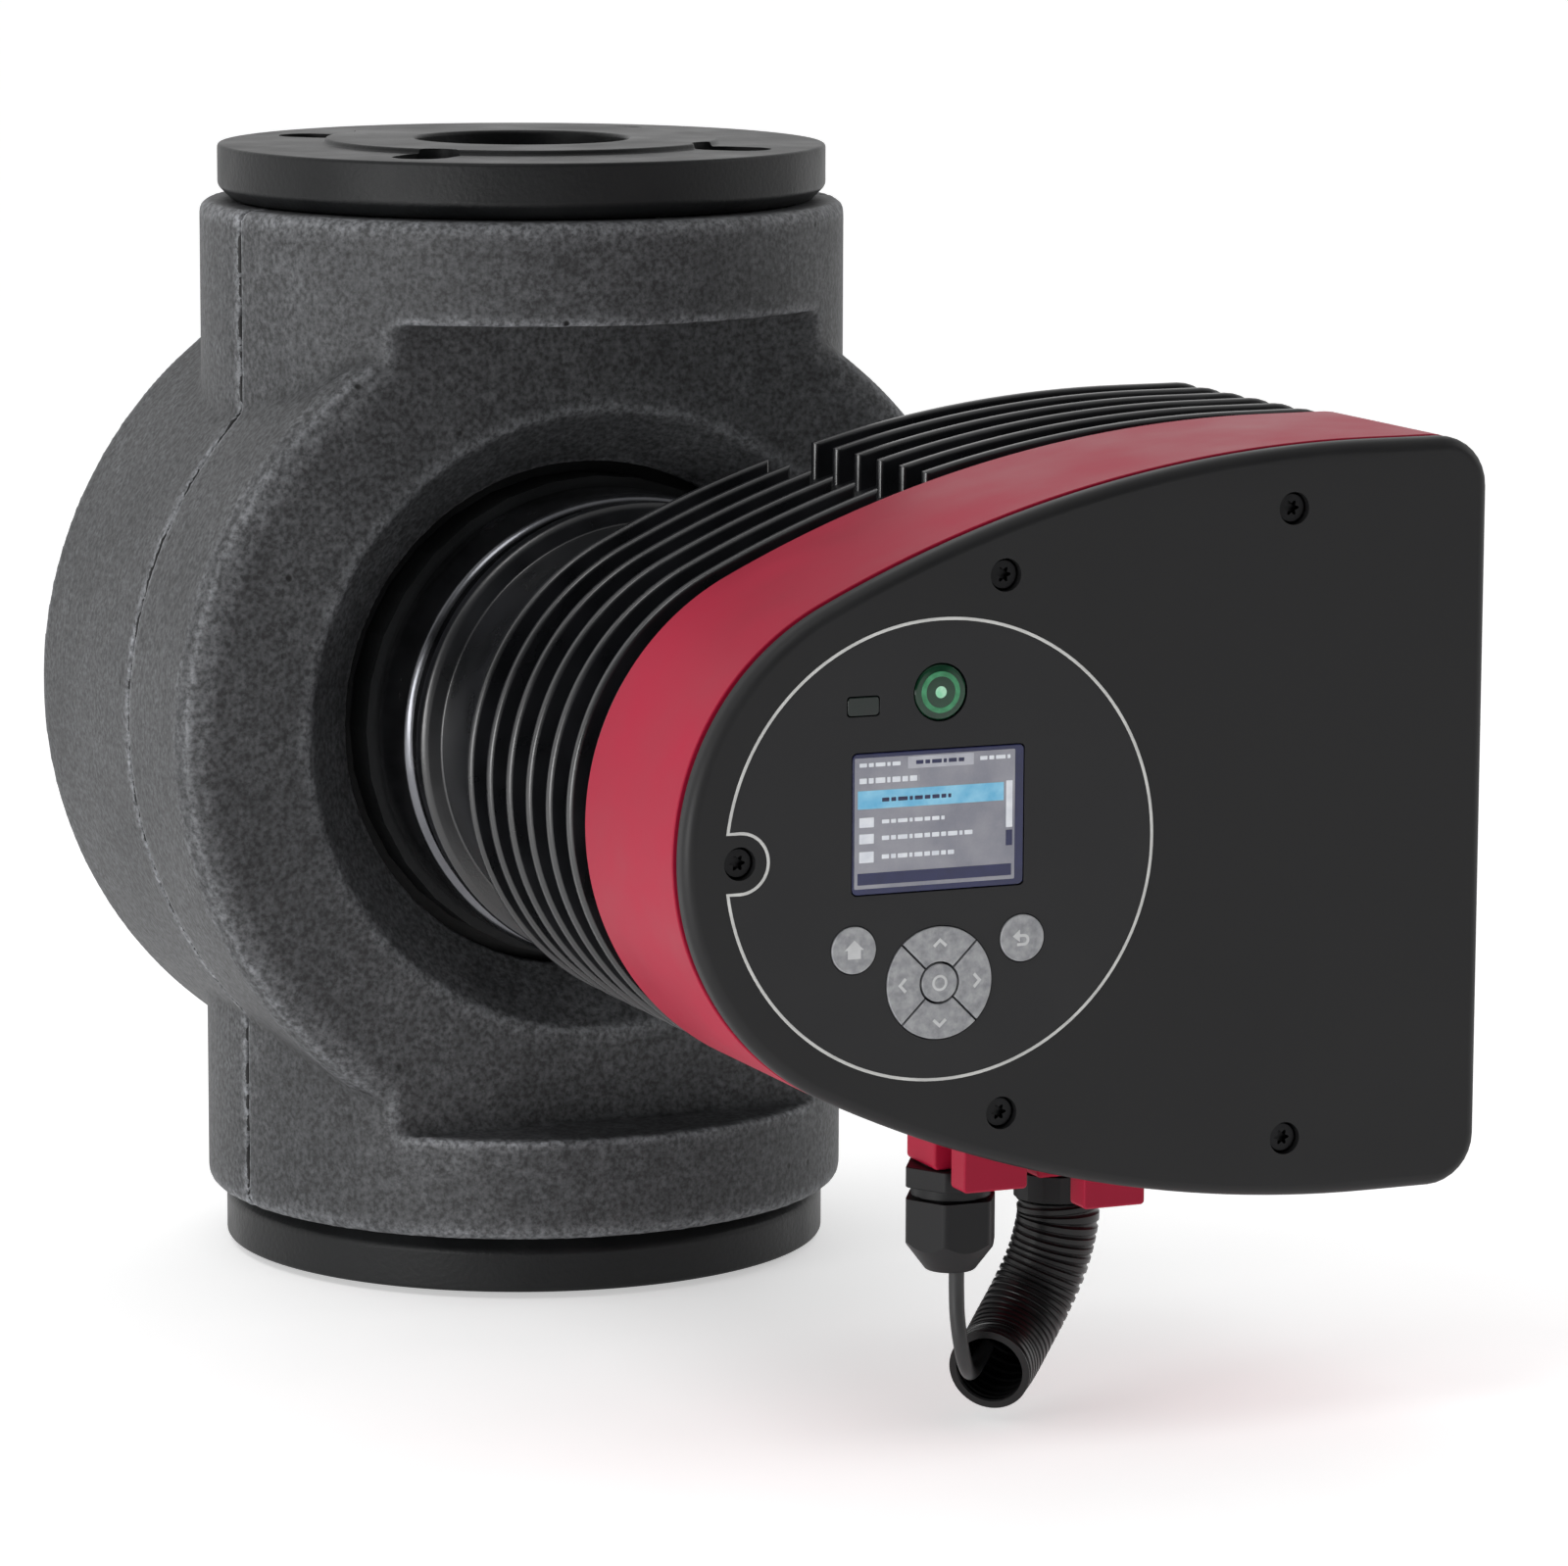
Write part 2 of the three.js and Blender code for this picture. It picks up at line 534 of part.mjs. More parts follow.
addPiece('gland_body', glandBody(), finish.blackPlastic);
addPiece('gland_seal', atGland(postZ(0, 0, 8, -118.5, -111.8)), finish.rubber);
addPiece('gland_nut', glandNut(), finish.blackPlastic);
addPiece('conduit_adapter', sleeveAdapter(), finish.blackPlastic);
addPiece('conduit', along(sleeveRoute, sleeve.outer, 12, 9, sleeve.inner), finish.blackPlastic);
addPiece('sensor_lead', along(leadRoute, leadRadius, 8, 12), finish.rubber);

export default pump;
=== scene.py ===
import json
import math

import bmesh
import bpy
from mathutils import Matrix, Vector, noise


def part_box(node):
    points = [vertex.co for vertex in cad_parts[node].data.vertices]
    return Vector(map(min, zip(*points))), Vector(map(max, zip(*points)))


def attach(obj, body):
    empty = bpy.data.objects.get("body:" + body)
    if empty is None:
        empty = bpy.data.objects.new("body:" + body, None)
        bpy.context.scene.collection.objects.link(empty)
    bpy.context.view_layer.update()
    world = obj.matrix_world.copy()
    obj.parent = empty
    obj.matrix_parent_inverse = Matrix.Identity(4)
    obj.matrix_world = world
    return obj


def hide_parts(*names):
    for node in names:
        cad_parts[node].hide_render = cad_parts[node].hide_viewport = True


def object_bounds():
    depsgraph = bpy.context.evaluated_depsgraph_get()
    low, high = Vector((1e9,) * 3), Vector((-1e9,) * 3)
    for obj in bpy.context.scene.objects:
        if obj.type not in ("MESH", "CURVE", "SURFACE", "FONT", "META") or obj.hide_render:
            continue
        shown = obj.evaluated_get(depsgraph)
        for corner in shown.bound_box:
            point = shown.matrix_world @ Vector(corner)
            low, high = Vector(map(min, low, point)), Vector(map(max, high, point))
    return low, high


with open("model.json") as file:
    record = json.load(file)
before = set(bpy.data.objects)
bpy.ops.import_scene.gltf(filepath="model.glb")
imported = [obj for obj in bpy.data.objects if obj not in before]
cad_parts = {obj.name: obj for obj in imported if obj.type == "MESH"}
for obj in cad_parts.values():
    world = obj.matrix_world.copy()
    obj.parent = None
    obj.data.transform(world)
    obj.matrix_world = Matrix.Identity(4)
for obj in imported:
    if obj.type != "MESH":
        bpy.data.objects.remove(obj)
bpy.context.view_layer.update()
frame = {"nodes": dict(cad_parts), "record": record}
nodes = frame["nodes"]
mm = 0.001

# camera and light

cameraSet = {"place": (-735.1, -1925.0, 307.2), "yaw": 23.14, "pitch": 9.27, "roll": 0.21, "lens": 154.98,
             "sensor": 36, "near": 0.05, "far": 50}
lightSet = {
    "key": {"place": (-700, -700, 1500), "size": 700, "power": 4.6},
    "left": {"place": (-1700, -650, 150), "size": 700, "power": 9},
    "right": {"place": (1500, -600, 700), "size": 900, "power": 4},
    "low": {"place": (-1000, -800, -110), "size": 350, "power": 2.2},
}
lightAim = (30, -150, 0)  # mm, near the pump's middle
# the room's glow: dim in front of the pump, bright behind it and overhead
roomSet = {"front": 0.045, "behind": 1.02, "turnFrom": -0.35, "turnTo": 0.45,
           "level": 0.0, "overhead": 0.45, "riseFrom": 0.35, "riseTo": 0.95, "floorGlow": 0.46}


def makeCamera():
    yaw, pitch, roll = (math.radians(cameraSet[k]) for k in ("yaw", "pitch", "roll"))
    ahead = Vector((math.sin(yaw) * math.cos(pitch), math.cos(yaw) * math.cos(pitch), -math.sin(pitch)))
    side = Vector((math.cos(yaw), -math.sin(yaw), 0))
    up = side.cross(ahead)
    right = math.cos(roll) * side + math.sin(roll) * up
    top = -math.sin(roll) * side + math.cos(roll) * up
    data = bpy.data.cameras.new("camera")
    data.lens = cameraSet["lens"]
    data.sensor_width = cameraSet["sensor"]
    data.sensor_fit = "HORIZONTAL"
    data.clip_start = cameraSet["near"]
    data.clip_end = cameraSet["far"]
    camera = bpy.data.objects.new("camera", data)
    axes = Matrix((right, top, -ahead)).transposed().to_4x4()
    camera.matrix_world = Matrix.Translation(Vector(cameraSet["place"]) * mm) @ axes
    bpy.context.scene.collection.objects.link(camera)
    bpy.context.scene.camera = camera


def makeLights():
    for name, facts in lightSet.items():
        data = bpy.data.lights.new(name, "AREA")
        data.shape = "DISK"
        data.size = facts["size"] * mm
        data.energy = facts["power"]
        light = bpy.data.objects.new(name, data)
        light.location = Vector(facts["place"]) * mm
        aim = Vector(lightAim) * mm - light.location
        light.rotation_euler = aim.to_track_quat("-Z", "Y").to_euler()
        bpy.context.scene.collection.objects.link(light)
    bpy.context.scene.view_settings.view_transform = "Standard"


def makeRoom():
    world = bpy.data.worlds.new("softRoom")
    world.use_nodes = True
    tree = world.node_tree
    toward = add(tree, "ShaderNodeTexCoord").outputs["Generated"]
    part = add(tree, "ShaderNodeSeparateXYZ", {"Vector": toward})
    glows = []
    for axis, start, end, least, most in (("Y", "turnFrom", "turnTo", "front", "behind"),
                                          ("Z", "riseFrom", "riseTo", "level", "overhead")):
        glows.append(add(tree, "ShaderNodeMapRange", {
            "Value": part.outputs[axis], "From Min": roomSet[start], "From Max": roomSet[end],
            "To Min": roomSet[least], "To Max": roomSet[most]}, interpolation_type="SMOOTHSTEP"))
    glow = add(tree, "ShaderNodeMath", {i: part.outputs["Result"] for i, part in enumerate(glows)},
               operation="MAXIMUM")
    background = tree.nodes["Background"]
    background.inputs["Color"].default_value = (1, 1, 1, 1)
    tree.links.new(glow.outputs["Value"], background.inputs["Strength"])
    bpy.context.scene.world = world


# materials


def linear(hexColour):
    parts = [int(hexColour[i:i + 2], 16) / 255 for i in (1, 3, 5)]
    curve = [c / 12.92 if c <= 0.04045 else ((c + 0.055) / 1.055) ** 2.4 for c in parts]
    return (*curve, 1)


# adds one node, sets its properties and its ramp's colour stops, and fills or links its inputs
def add(tree, kind, inputs=None, stops=(), **settings):
    node = tree.nodes.new(kind)
    for key, value in settings.items():
        setattr(node, key, value)
    for i, (position, colour) in enumerate(stops):
        marks = node.color_ramp.elements
        mark = marks[i] if i < 2 else marks.new(position)
        mark.position, mark.color = position, colour
    for key, value in (inputs or {}).items():
        if isinstance(value, bpy.types.NodeSocket):
            tree.links.new(value, node.inputs[key])
        else:
            node.inputs[key].default_value = value
    return node


def newMaterial(name, roughness, metallic=0.0, ior=None):
    material = bpy.data.materials.new(name)
    material.use_nodes = True
    tree = material.node_tree
    shader = tree.nodes["Principled BSDF"]
    shader.inputs["Roughness"].default_value = roughness
    shader.inputs["Metallic"].default_value = metallic
    if ior:
        shader.inputs["IOR"].default_value = ior
    place = add(tree, "ShaderNodeTexCoord").outputs["Object"]
    return material, tree, shader, place


# texture scale for a grain of that many millimetres
def perMetre(size):
    return 1 / (size * mm)


def grey(value):
    return (value, value, value, 1)


# expanded polypropylene, steam-moulded from beads: soft speckle, faint bead cells, few small pits darkened
# with painted shade, matt, with a painted highlight along ridges and painted shade in creases
def beadFoam(name, facts):
    material, tree, shader, place = newMaterial(name, 0.62, ior=1.45)
    beads = add(tree, "ShaderNodeTexVoronoi", {"Vector": place, "Scale": perMetre(facts["bead"])},
                feature="SMOOTH_F1")
    speck, blotch, cloud = (
        add(tree, "ShaderNodeTexNoise", {"Vector": place, "Scale": perMetre(facts[key]), "Detail": detail,
                                         "Roughness": rough})
        for key, detail, rough in (("speck", 3.0, 0.6), ("blotch", 4.0, 0.7), ("cloud", 4.0, 0.5)))
    pits = add(tree, "ShaderNodeTexVoronoi", {"Vector": place, "Scale": perMetre(facts["pit"])})
    bend = add(tree, "ShaderNodeNewGeometry").outputs["Pointiness"]
    # each layer: what drives it, then its grey or colour stops
    layers = {
        "base": (cloud.outputs["Fac"], [(0.35, linear(facts["dark"])), (0.65, linear(facts["pale"]))]),
        "spots": (speck.outputs["Fac"], [(0.36, grey(0.42)), (0.52, grey(1.0)), (0.7, grey(1.6))]),
        "patches": (blotch.outputs["Fac"], [(0.3, grey(0.72)), (0.6, grey(1.08))]),
        "cells": (beads.outputs["Distance"], [(0.35, grey(1.0)), (0.75, grey(0.8))]),
        # painted highlight on convex ridges and painted shade in concave creases, driven by the mesh's
        # pointiness
        "ridgeHighlightCreaseShade": (bend, [(0.43, grey(0.45)), (0.58, grey(facts["ridgeHighlight"])), (0.5, grey(1.0))]),
        "hollow": (pits.outputs["Distance"], [(0.05, grey(1)), (0.11, grey(0))]),
    }
    tones = {key: add(tree, "ShaderNodeValToRGB", {"Fac": drive}, stops).outputs["Color"]
             for key, (drive, stops) in layers.items()}
    pick = add(tree, "ShaderNodeSeparateColor", {"Color": pits.outputs["Color"]}).outputs["Red"]
    rare = add(tree, "ShaderNodeValToRGB", {"Fac": pick}, [(0.78, grey(0)), (0.8, grey(1))])
    pitMask = add(tree, "ShaderNodeMix", {"Factor": 1.0, 6: rare.outputs["Color"], 7: tones["hollow"]},
                  data_type="RGBA", blend_type="MULTIPLY").outputs[2]
    colour = tones["base"]
    for key in ("spots", "patches", "cells", "ridgeHighlightCreaseShade"):
        colour = add(tree, "ShaderNodeMix", {"Factor": 1.0, 6: colour, 7: tones[key]}, data_type="RGBA",
                     blend_type="MULTIPLY").outputs[2]
    # a dark joint line, straying a little either side of the split between the shells
    depth = add(tree, "ShaderNodeSeparateXYZ", {"Vector": place}).outputs["Y"]
    stray = add(tree, "ShaderNodeMath", {0: blotch.outputs["Fac"], 1: facts["stray"] * mm,
                                         2: -facts["stray"] / 2 * mm}, operation="MULTIPLY_ADD")
    height = add(tree, "ShaderNodeMath", {0: depth, 1: stray.outputs["Value"]}, operation="ADD")
    seam = add(tree, "ShaderNodeMath", {0: height.outputs["Value"], 1: facts["split"] * mm,
                                        2: facts["seam"] * mm}, operation="COMPARE")
    # the joint line is a dark joint; the pits' dark tone is painted shade in their hollows
    for mask, paint in ((seam.outputs["Value"], "seamTone"), (pitMask, "pitShadeTone")):
        colour = add(tree, "ShaderNodeMix", {"Factor": mask, 6: colour, 7: linear(facts[paint])},
                     data_type="RGBA").outputs[2]
    tree.links.new(colour, shader.inputs["Base Color"])
    gloss = add(tree, "ShaderNodeMapRange", {"Value": blotch.outputs["Fac"], "To Min": 0.5, "To Max": 0.75})
    tree.links.new(gloss.outputs["Result"], shader.inputs["Roughness"])
    fine = add(tree, "ShaderNodeBump", {"Height": speck.outputs["Fac"], "Strength": 0.3,
                                        "Distance": 0.4 * mm})
    bead = add(tree, "ShaderNodeBump", {"Height": tones["cells"], "Strength": 0.35, "Distance": 0.3 * mm,
                                        "Normal": fine.outputs["Normal"]})
    hole = add(tree, "ShaderNodeBump", {"Height": pitMask, "Strength": 0.6, "Distance": 0.5 * mm,
                                        "Normal": bead.outputs["Normal"]}, invert=True)
    tree.links.new(hole.outputs["Normal"], shader.inputs["Normal"])
    return material


# one builder for cast, moulded and coated surfaces: two grains of bump, cloudy colour, uneven gloss
def grained(name, facts):
    material, tree, shader, place = newMaterial(name, facts["rough"], facts.get("metal", 0.0),
                                                facts.get("ior"))
    shader.inputs["Specular IOR Level"].default_value = facts.get("shine", 0.5)
    fine, broad = (
        add(tree, "ShaderNodeTexNoise", {"Vector": place, "Scale": perMetre(facts[key]), "Detail": detail})
        for key, detail in (("grain", 3.0), ("patch", 4.0)))
    tones = [(0.3, linear(facts["dark"])), (0.7, linear(facts["light"]))]
    colour = add(tree, "ShaderNodeValToRGB", {"Fac": broad.outputs["Fac"]}, tones).outputs["Color"]
    shade = add(tree, "ShaderNodeMix", {"Factor": facts.get("fleck", 0.08), 6: colour,
                                        7: fine.outputs["Fac"]}, data_type="RGBA", blend_type="SOFT_LIGHT")
    tree.links.new(shade.outputs[2], shader.inputs["Base Color"])
    spread = facts.get("spread", 0.06)
    gloss = add(tree, "ShaderNodeMapRange", {
        "Value": broad.outputs["Fac"], "From Min": 0.3, "From Max": 0.7,
        "To Min": facts["rough"] - spread, "To Max": facts["rough"] + spread})
    tree.links.new(gloss.outputs["Result"], shader.inputs["Roughness"])
    bump = add(tree, "ShaderNodeBump", {"Height": fine.outputs["Fac"], "Strength": facts["bump"],
                                        "Distance": facts["depth"] * mm})
    wave = add(tree, "ShaderNodeBump", {"Height": broad.outputs["Fac"], "Strength": facts.get("wave", 0.1),
                                        "Distance": 0.4 * mm, "Normal": bump.outputs["Normal"]})
    tree.links.new(wave.outputs["Normal"], shader.inputs["Normal"])
    return material


# the ridge factor in this table paints a highlight on the foam's ridges
foamFacts = {"bead": 3.8, "speck": 1.6, "blotch": 7, "cloud": 60, "pit": 11.0, "ridgeHighlight": 5.0, "split": -16.85,
             "stray": 3, "seam": 0.8, "dark": "#3f4042", "pale": "#4b4c4e", "seamTone": "#1d1d1e",
             # the pit tone next is painted shade in the pits' hollows
             "pitShadeTone": "#161616"}
# grain, patch and depth are in mm; the real moulded and coated textures are mostly finer than 0.1 mm,
# too fine to show, so each grain is drawn as coarse as it needs to show
surfaces = {
    # black enamel over sand-cast iron: soft gloss over a coarse cast skin
    "enamelledCastIron": {"dark": "#131415", "light": "#1b1c1d", "rough": 0.46, "shine": 0.25,
                          "grain": 1.6, "patch": 24, "bump": 0.28, "depth": 0.5, "wave": 0.3},
    # black powder coat over die-cast aluminium: dark, fine orange peel, clear thin highlights
    "powderCoatedAluminium": {"dark": "#0b0c0e", "light": "#141519", "rough": 0.3, "ior": 1.55,
                              "shine": 0.8, "grain": 0.8, "patch": 18, "bump": 0.12, "depth": 0.2},
    # dark burnished steel strip, rolled: long soft highlights, and dark towards the dim side
    "burnishedSteel": {"dark": "#5c5d61", "light": "#77787c", "rough": 0.22, "metal": 1.0, "grain": 0.7,
                       "patch": 14, "bump": 0.06, "depth": 0.1},
    # crimson ABS, moulded with a satin skin: deep red that pales where light rakes along it
    "crimsonAbs": {"dark": "#9a1130", "light": "#a31535", "rough": 0.45, "shine": 0.18, "grain": 0.45,
                   "patch": 30, "bump": 0.1, "depth": 0.08, "fleck": 0.05},
    # black ABS, moulded in a spark-eroded tool: an even, dull dark grey
    "texturedAbs": {"dark": "#19191a", "light": "#1d1d1e", "rough": 0.5, "shine": 0.3, "grain": 0.4,
                    "patch": 36, "bump": 0.16, "depth": 0.1, "fleck": 0.06},
    # polyester film, printed black from behind: smoother and a little darker than the cover
    "printedPolyester": {"dark": "#161618", "light": "#1a1a1c", "rough": 0.4, "shine": 0.35,
                         "grain": 0.3, "patch": 20, "bump": 0.05, "depth": 0.05, "fleck": 0.04},
    # silver ink, screen-printed: a thin pale line
    "printedSilverInk": {"dark": "#b9b9b7", "light": "#d3d3d0", "rough": 0.35, "ior": 1.5, "grain": 0.3,
                         "patch": 8, "bump": 0.1, "depth": 0.05},
    # grey silicone rubber, moulded: mottled, soft, slightly pearly
    "mouldedSilicone": {"dark": "#85868a", "light": "#a6a7a9", "rough": 0.46, "ior": 1.42, "grain": 0.9,
                        "patch": 2.6, "bump": 0.1, "depth": 0.08, "fleck": 0.3},
    # pale ink on the keys, pad-printed: light marks that barely stand out
    "printedKeyInk": {"dark": "#bfc0c1", "light": "#cfd0d1", "rough": 0.4, "ior": 1.5, "grain": 0.3,
                      "patch": 4, "bump": 0.05, "depth": 0.03},
    # black polyamide, moulded: dull, with soft edges
    "mouldedNylon": {"dark": "#101112", "light": "#17181a", "rough": 0.48, "shine": 0.28, "grain": 0.5,
                     "patch": 12, "bump": 0.12, "depth": 0.08},
    # black polyethylene, blown into a corrugated sleeve: waxy gloss on each rib
    "blownPolyethylene": {"dark": "#0a0a0b", "light": "#111112", "rough": 0.36, "shine": 0.35,
                          "grain": 0.9, "patch": 10, "bump": 0.1, "depth": 0.1},
    # dark grey PVC, extruded as the lead's sheath: satin
    "extrudedPvc": {"dark": "#1c1d1e", "light": "#272829", "rough": 0.45, "ior": 1.53, "grain": 0.5,
                    "patch": 8, "bump": 0.1, "depth": 0.06},
    # nitrile rubber, moulded: matt black
    "mouldedNitrile": {"dark": "#121212", "light": "#1c1c1c", "rough": 0.7, "ior": 1.5, "grain": 0.5,
                       "patch": 9, "bump": 0.15, "depth": 0.08},
    # steel, turned, blackened and oiled: dark with small sharp glints
    "blackenedSteel": {"dark": "#0d0d0e", "light": "#1b1b1d", "rough": 0.36, "metal": 0.7, "grain": 0.4,
                       "patch": 5, "bump": 0.1, "depth": 0.05},
    # stainless steel, turned: bright with faint tool marks
    "turnedStainless": {"dark": "#a9abad", "light": "#c2c4c6", "rough": 0.28, "metal": 1.0,
                        "grain": 0.5, "patch": 16, "bump": 0.1, "depth": 0.05},
    # bronze, sintered: brown and finely porous
    "sinteredBronze": {"dark": "#8d6a3c", "light": "#b08a55", "rough": 0.42, "metal": 1.0, "grain": 0.5,
                       "patch": 7, "bump": 0.25, "depth": 0.08},
    # copper wire, enamelled and wound: warm, uneven, glossy
    "enamelledCopper": {"dark": "#8a4420", "light": "#b5622f", "rough": 0.35, "metal": 1.0,
                        "grain": 0.9, "patch": 6, "bump": 0.4, "depth": 0.3},
    # glass-epoxy board under green solder mask: smooth deep green
    "solderMask": {"dark": "#14432a", "light": "#1d5a38", "rough": 0.4, "ior": 1.5, "grain": 1.2,
                   "patch": 9, "bump": 0.1, "depth": 0.06},
    # aluminium sheet, anodised: even pale satin
    "anodisedAluminium": {"dark": "#b6b8ba", "light": "#c0c2c3", "rough": 0.38, "metal": 1.0,
                          "grain": 0.3, "patch": 20, "spread": 0.02, "bump": 0.08, "depth": 0.04},
    # glass over a liquid-crystal picture, five of its colours: all glossy, no grain
    "screenNavy": {"dark": "#1b1e42", "light": "#262a55", "rough": 0.16, "ior": 1.5, "grain": 0.6,
                   "patch": 9, "bump": 0.02, "depth": 0.02},
    "screenGrey": {"dark": "#7f808c", "light": "#9a9aa2", "rough": 0.16, "ior": 1.5, "grain": 0.6,
                   "patch": 11, "bump": 0.02, "depth": 0.02},
    "screenBlue": {"dark": "#5fb2dc", "light": "#9bd8f2", "rough": 0.16, "ior": 1.5, "grain": 0.6,
                   "patch": 6, "bump": 0.02, "depth": 0.02},
    "screenPale": {"dark": "#a9aab4", "light": "#bfc0c8", "rough": 0.16, "ior": 1.5, "grain": 0.6,
                   "patch": 6, "bump": 0.02, "depth": 0.02},
    "screenWhite": {"dark": "#d7dbe4", "light": "#eef1f6", "rough": 0.16, "ior": 1.5, "grain": 0.6,
                    "patch": 4, "bump": 0.02, "depth": 0.02},
    # acrylic, moulded and tinted green: dark and glassy, with a paler ring and a lit middle
    "greenAcrylic": {"dark": "#072618", "light": "#0e3d26", "rough": 0.12, "ior": 1.49, "grain": 0.8,
                     "patch": 5, "bump": 0.03, "depth": 0.03},
    "paleGreenAcrylic": {"dark": "#1f6e43", "light": "#3f9566", "rough": 0.2, "ior": 1.49, "grain": 0.8,
                         "patch": 3, "bump": 0.03, "depth": 0.03},
    "litAcrylic": {"dark": "#7fd6a4", "light": "#c9f2d8", "rough": 0.2, "ior": 1.49, "grain": 0.8,
                   "patch": 3, "bump": 0.03, "depth": 0.03},
    # acrylic, moulded and tinted nearly black: a small unlit window
    "unlitAcrylic": {"dark": "#04100c", "light": "#071b14", "rough": 0.2, "ior": 1.49, "grain": 0.8,
                     "patch": 5, "bump": 0.03, "depth": 0.03},
}
paints = {name: grained(name, facts) for name, facts in surfaces.items()}
paints["beadFoam"] = beadFoam("beadFoam", foamFacts)
# finish of each material slot, for the solids that keep their own shape
slotPaint = {
    "cast_iron_black": "enamelledCastIron", "foam_grey": "beadFoam", "cast_black": "powderCoatedAluminium",
    "plastic_red": "crimsonAbs", "plastic_black": "mouldedNylon", "panel_black": "printedPolyester",
    "steel_bright": "turnedStainless", "steel_black": "blackenedSteel", "bronze": "sinteredBronze",
    "copper_winding": "enamelledCopper", "rubber_black": "mouldedNitrile", "key_grey": "mouldedSilicone",
    "window": "screenNavy", "lens_green": "greenAcrylic", "board_green": "solderMask",
    "plate_silver": "anodisedAluminium",
}
for entry in frame["record"]["subparts"]:
    held = nodes[entry["node"]].data
    held.materials.clear()
    held.materials.append(paints[slotPaint[entry["material_slot"]]])
print("materials ready")

# mesh helpers


def smooth(piece, angle=32):
    piece.data.polygons.foreach_set("use_smooth", [True] * len(piece.data.polygons))
    piece.data.set_sharp_from_angle(angle=math.radians(angle))
    return piece


def objectOf(name, mesh):
    piece = bpy.data.objects.new(name, mesh)
    bpy.context.scene.collection.objects.link(piece)
    return piece


def place(piece, paint, slot, body="pump", replaced=()):
    piece.data.materials.clear()
    piece.data.materials.append(paints[paint])
    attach(piece, body)
    if replaced:
        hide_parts(*replaced)
    even = piece.modifiers.new("evenFaces", "WEIGHTED_NORMAL")
    even.keep_sharp = True
    return piece


# rounds the corners of an open or closed outline of (a, b) points by up to radius
def rounded(points, radius, steps=4, closed=True):
    result = []
    count = len(points)
    for i, point in enumerate(points):
        if not closed and i in (0, count - 1):
            result.append(point)
            continue
        here, before, after = Vector(point), Vector(points[i - 1]), Vector(points[(i + 1) % count])
        reach = min(radius, (before - here).length * 0.45, (after - here).length * 0.45)
        start = here + (before - here).normalized() * reach
        end = here + (after - here).normalized() * reach
        for k in range(steps + 1):
            t = k / steps
            result.append(tuple((1 - t) ** 2 * start + 2 * t * (1 - t) * here + t * t * end))
    return result


# turned round an axis from (radius, height) points in mm; a profile that starts off the axis closes
# into a ring
def turned(name, profile, segments=128, axis="Y", centre=(0, 0, 0)):
    ring = profile[0][0] > 1e-6
    verts, faces, rows = [], [], []
    for radius, height in profile:
        if radius < 1e-6:
            rows.append([len(verts)])
            verts.append((0, 0, height))
            continue
        rows.append(list(range(len(verts), len(verts) + segments)))
        for i in range(segments):
            angle = 2 * math.pi * i / segments
            verts.append((radius * math.cos(angle), radius * math.sin(angle), height))
    pairs = list(zip(rows, rows[1:])) + ([(rows[-1], rows[0])] if ring else [])
    for low, high in pairs:
        for i in range(segments):
            j = (i + 1) % segments
            if len(low) == 1:
                faces.append((low[0], high[j], high[i]))
            elif len(high) == 1:
                faces.append((low[i], low[j], high[0]))
            else:
                faces.append((low[i], low[j], high[j], high[i]))
    turn = {"Z": lambda v: v, "Y": lambda v: (v[0], v[2], -v[1])}[axis]
    cx, cy, cz = centre
    mesh = bpy.data.meshes.new(name)
    moved = [((x + cx) * mm, (y + cy) * mm, (z + cz) * mm) for x, y, z in map(turn, verts)]
    mesh.from_pydata(moved, [], faces)
    return tidy(objectOf(name, mesh))


def tidy(piece):
    work = bmesh.new()
    work.from_mesh(piece.data)
    bmesh.ops.remove_doubles(work, verts=work.verts, dist=1e-7)
    bmesh.ops.recalc_face_normals(work, faces=work.faces)
    work.to_mesh(piece.data)
    work.free()
    return smooth(piece)


# plate across Y from outlines in (x, z) mm, the first outside and the rest holes, with softened edges
def plate(name, outlines, yFront, yBack, soft=0.0):
    curve = bpy.data.curves.new(name, "CURVE")
    curve.dimensions = "2D"
    curve.fill_mode = "BOTH"
    curve.extrude = ((yBack - yFront) / 2 - soft) * mm
    curve.bevel_depth = soft * mm
    curve.bevel_resolution = 4 if soft > 1 else 2
    curve.offset = -soft * mm
    for points in outlines:
        line = curve.splines.new("POLY")
        line.points.add(len(points) - 1)
        line.points.foreach_set("co", [c for x, z in points for c in (x * mm, z * mm, 0, 1)])
        line.use_cyclic_u = True
    holder = objectOf(name, curve)
    bpy.context.view_layer.update()
    mesh = bpy.data.meshes.new_from_object(holder.evaluated_get(bpy.context.evaluated_depsgraph_get()))
    bpy.data.objects.remove(holder)
    bpy.data.curves.remove(curve)
    mesh.name = name
    mesh.transform(Matrix.Rotation(math.pi / 2, 4, "X"))
    mesh.transform(Matrix.Translation((0, (yFront + yBack) / 2 * mm, 0)))
    return tidy(objectOf(name, mesh))


def carve(piece, tools, operation="DIFFERENCE"):
    for tool in tools:
        change = piece.modifiers.new("carve", "BOOLEAN")
        change.operation = operation
        change.solver = "EXACT"
        change.object = tool
    bpy.context.view_layer.update()
    mesh = bpy.data.meshes.new_from_object(piece.evaluated_get(bpy.context.evaluated_depsgraph_get()))
    piece.modifiers.clear()
    piece.data = mesh
    for tool in tools:
        bpy.data.objects.remove(tool)
    return smooth(piece)


def joined(name, parts):
    work = bmesh.new()
    for part in parts:
        work.from_mesh(part.data)
    mesh = bpy.data.meshes.new(name)
    work.to_mesh(mesh)
    work.free()
    for part in parts:
        bpy.data.objects.remove(part)
    return smooth(objectOf(name, mesh))


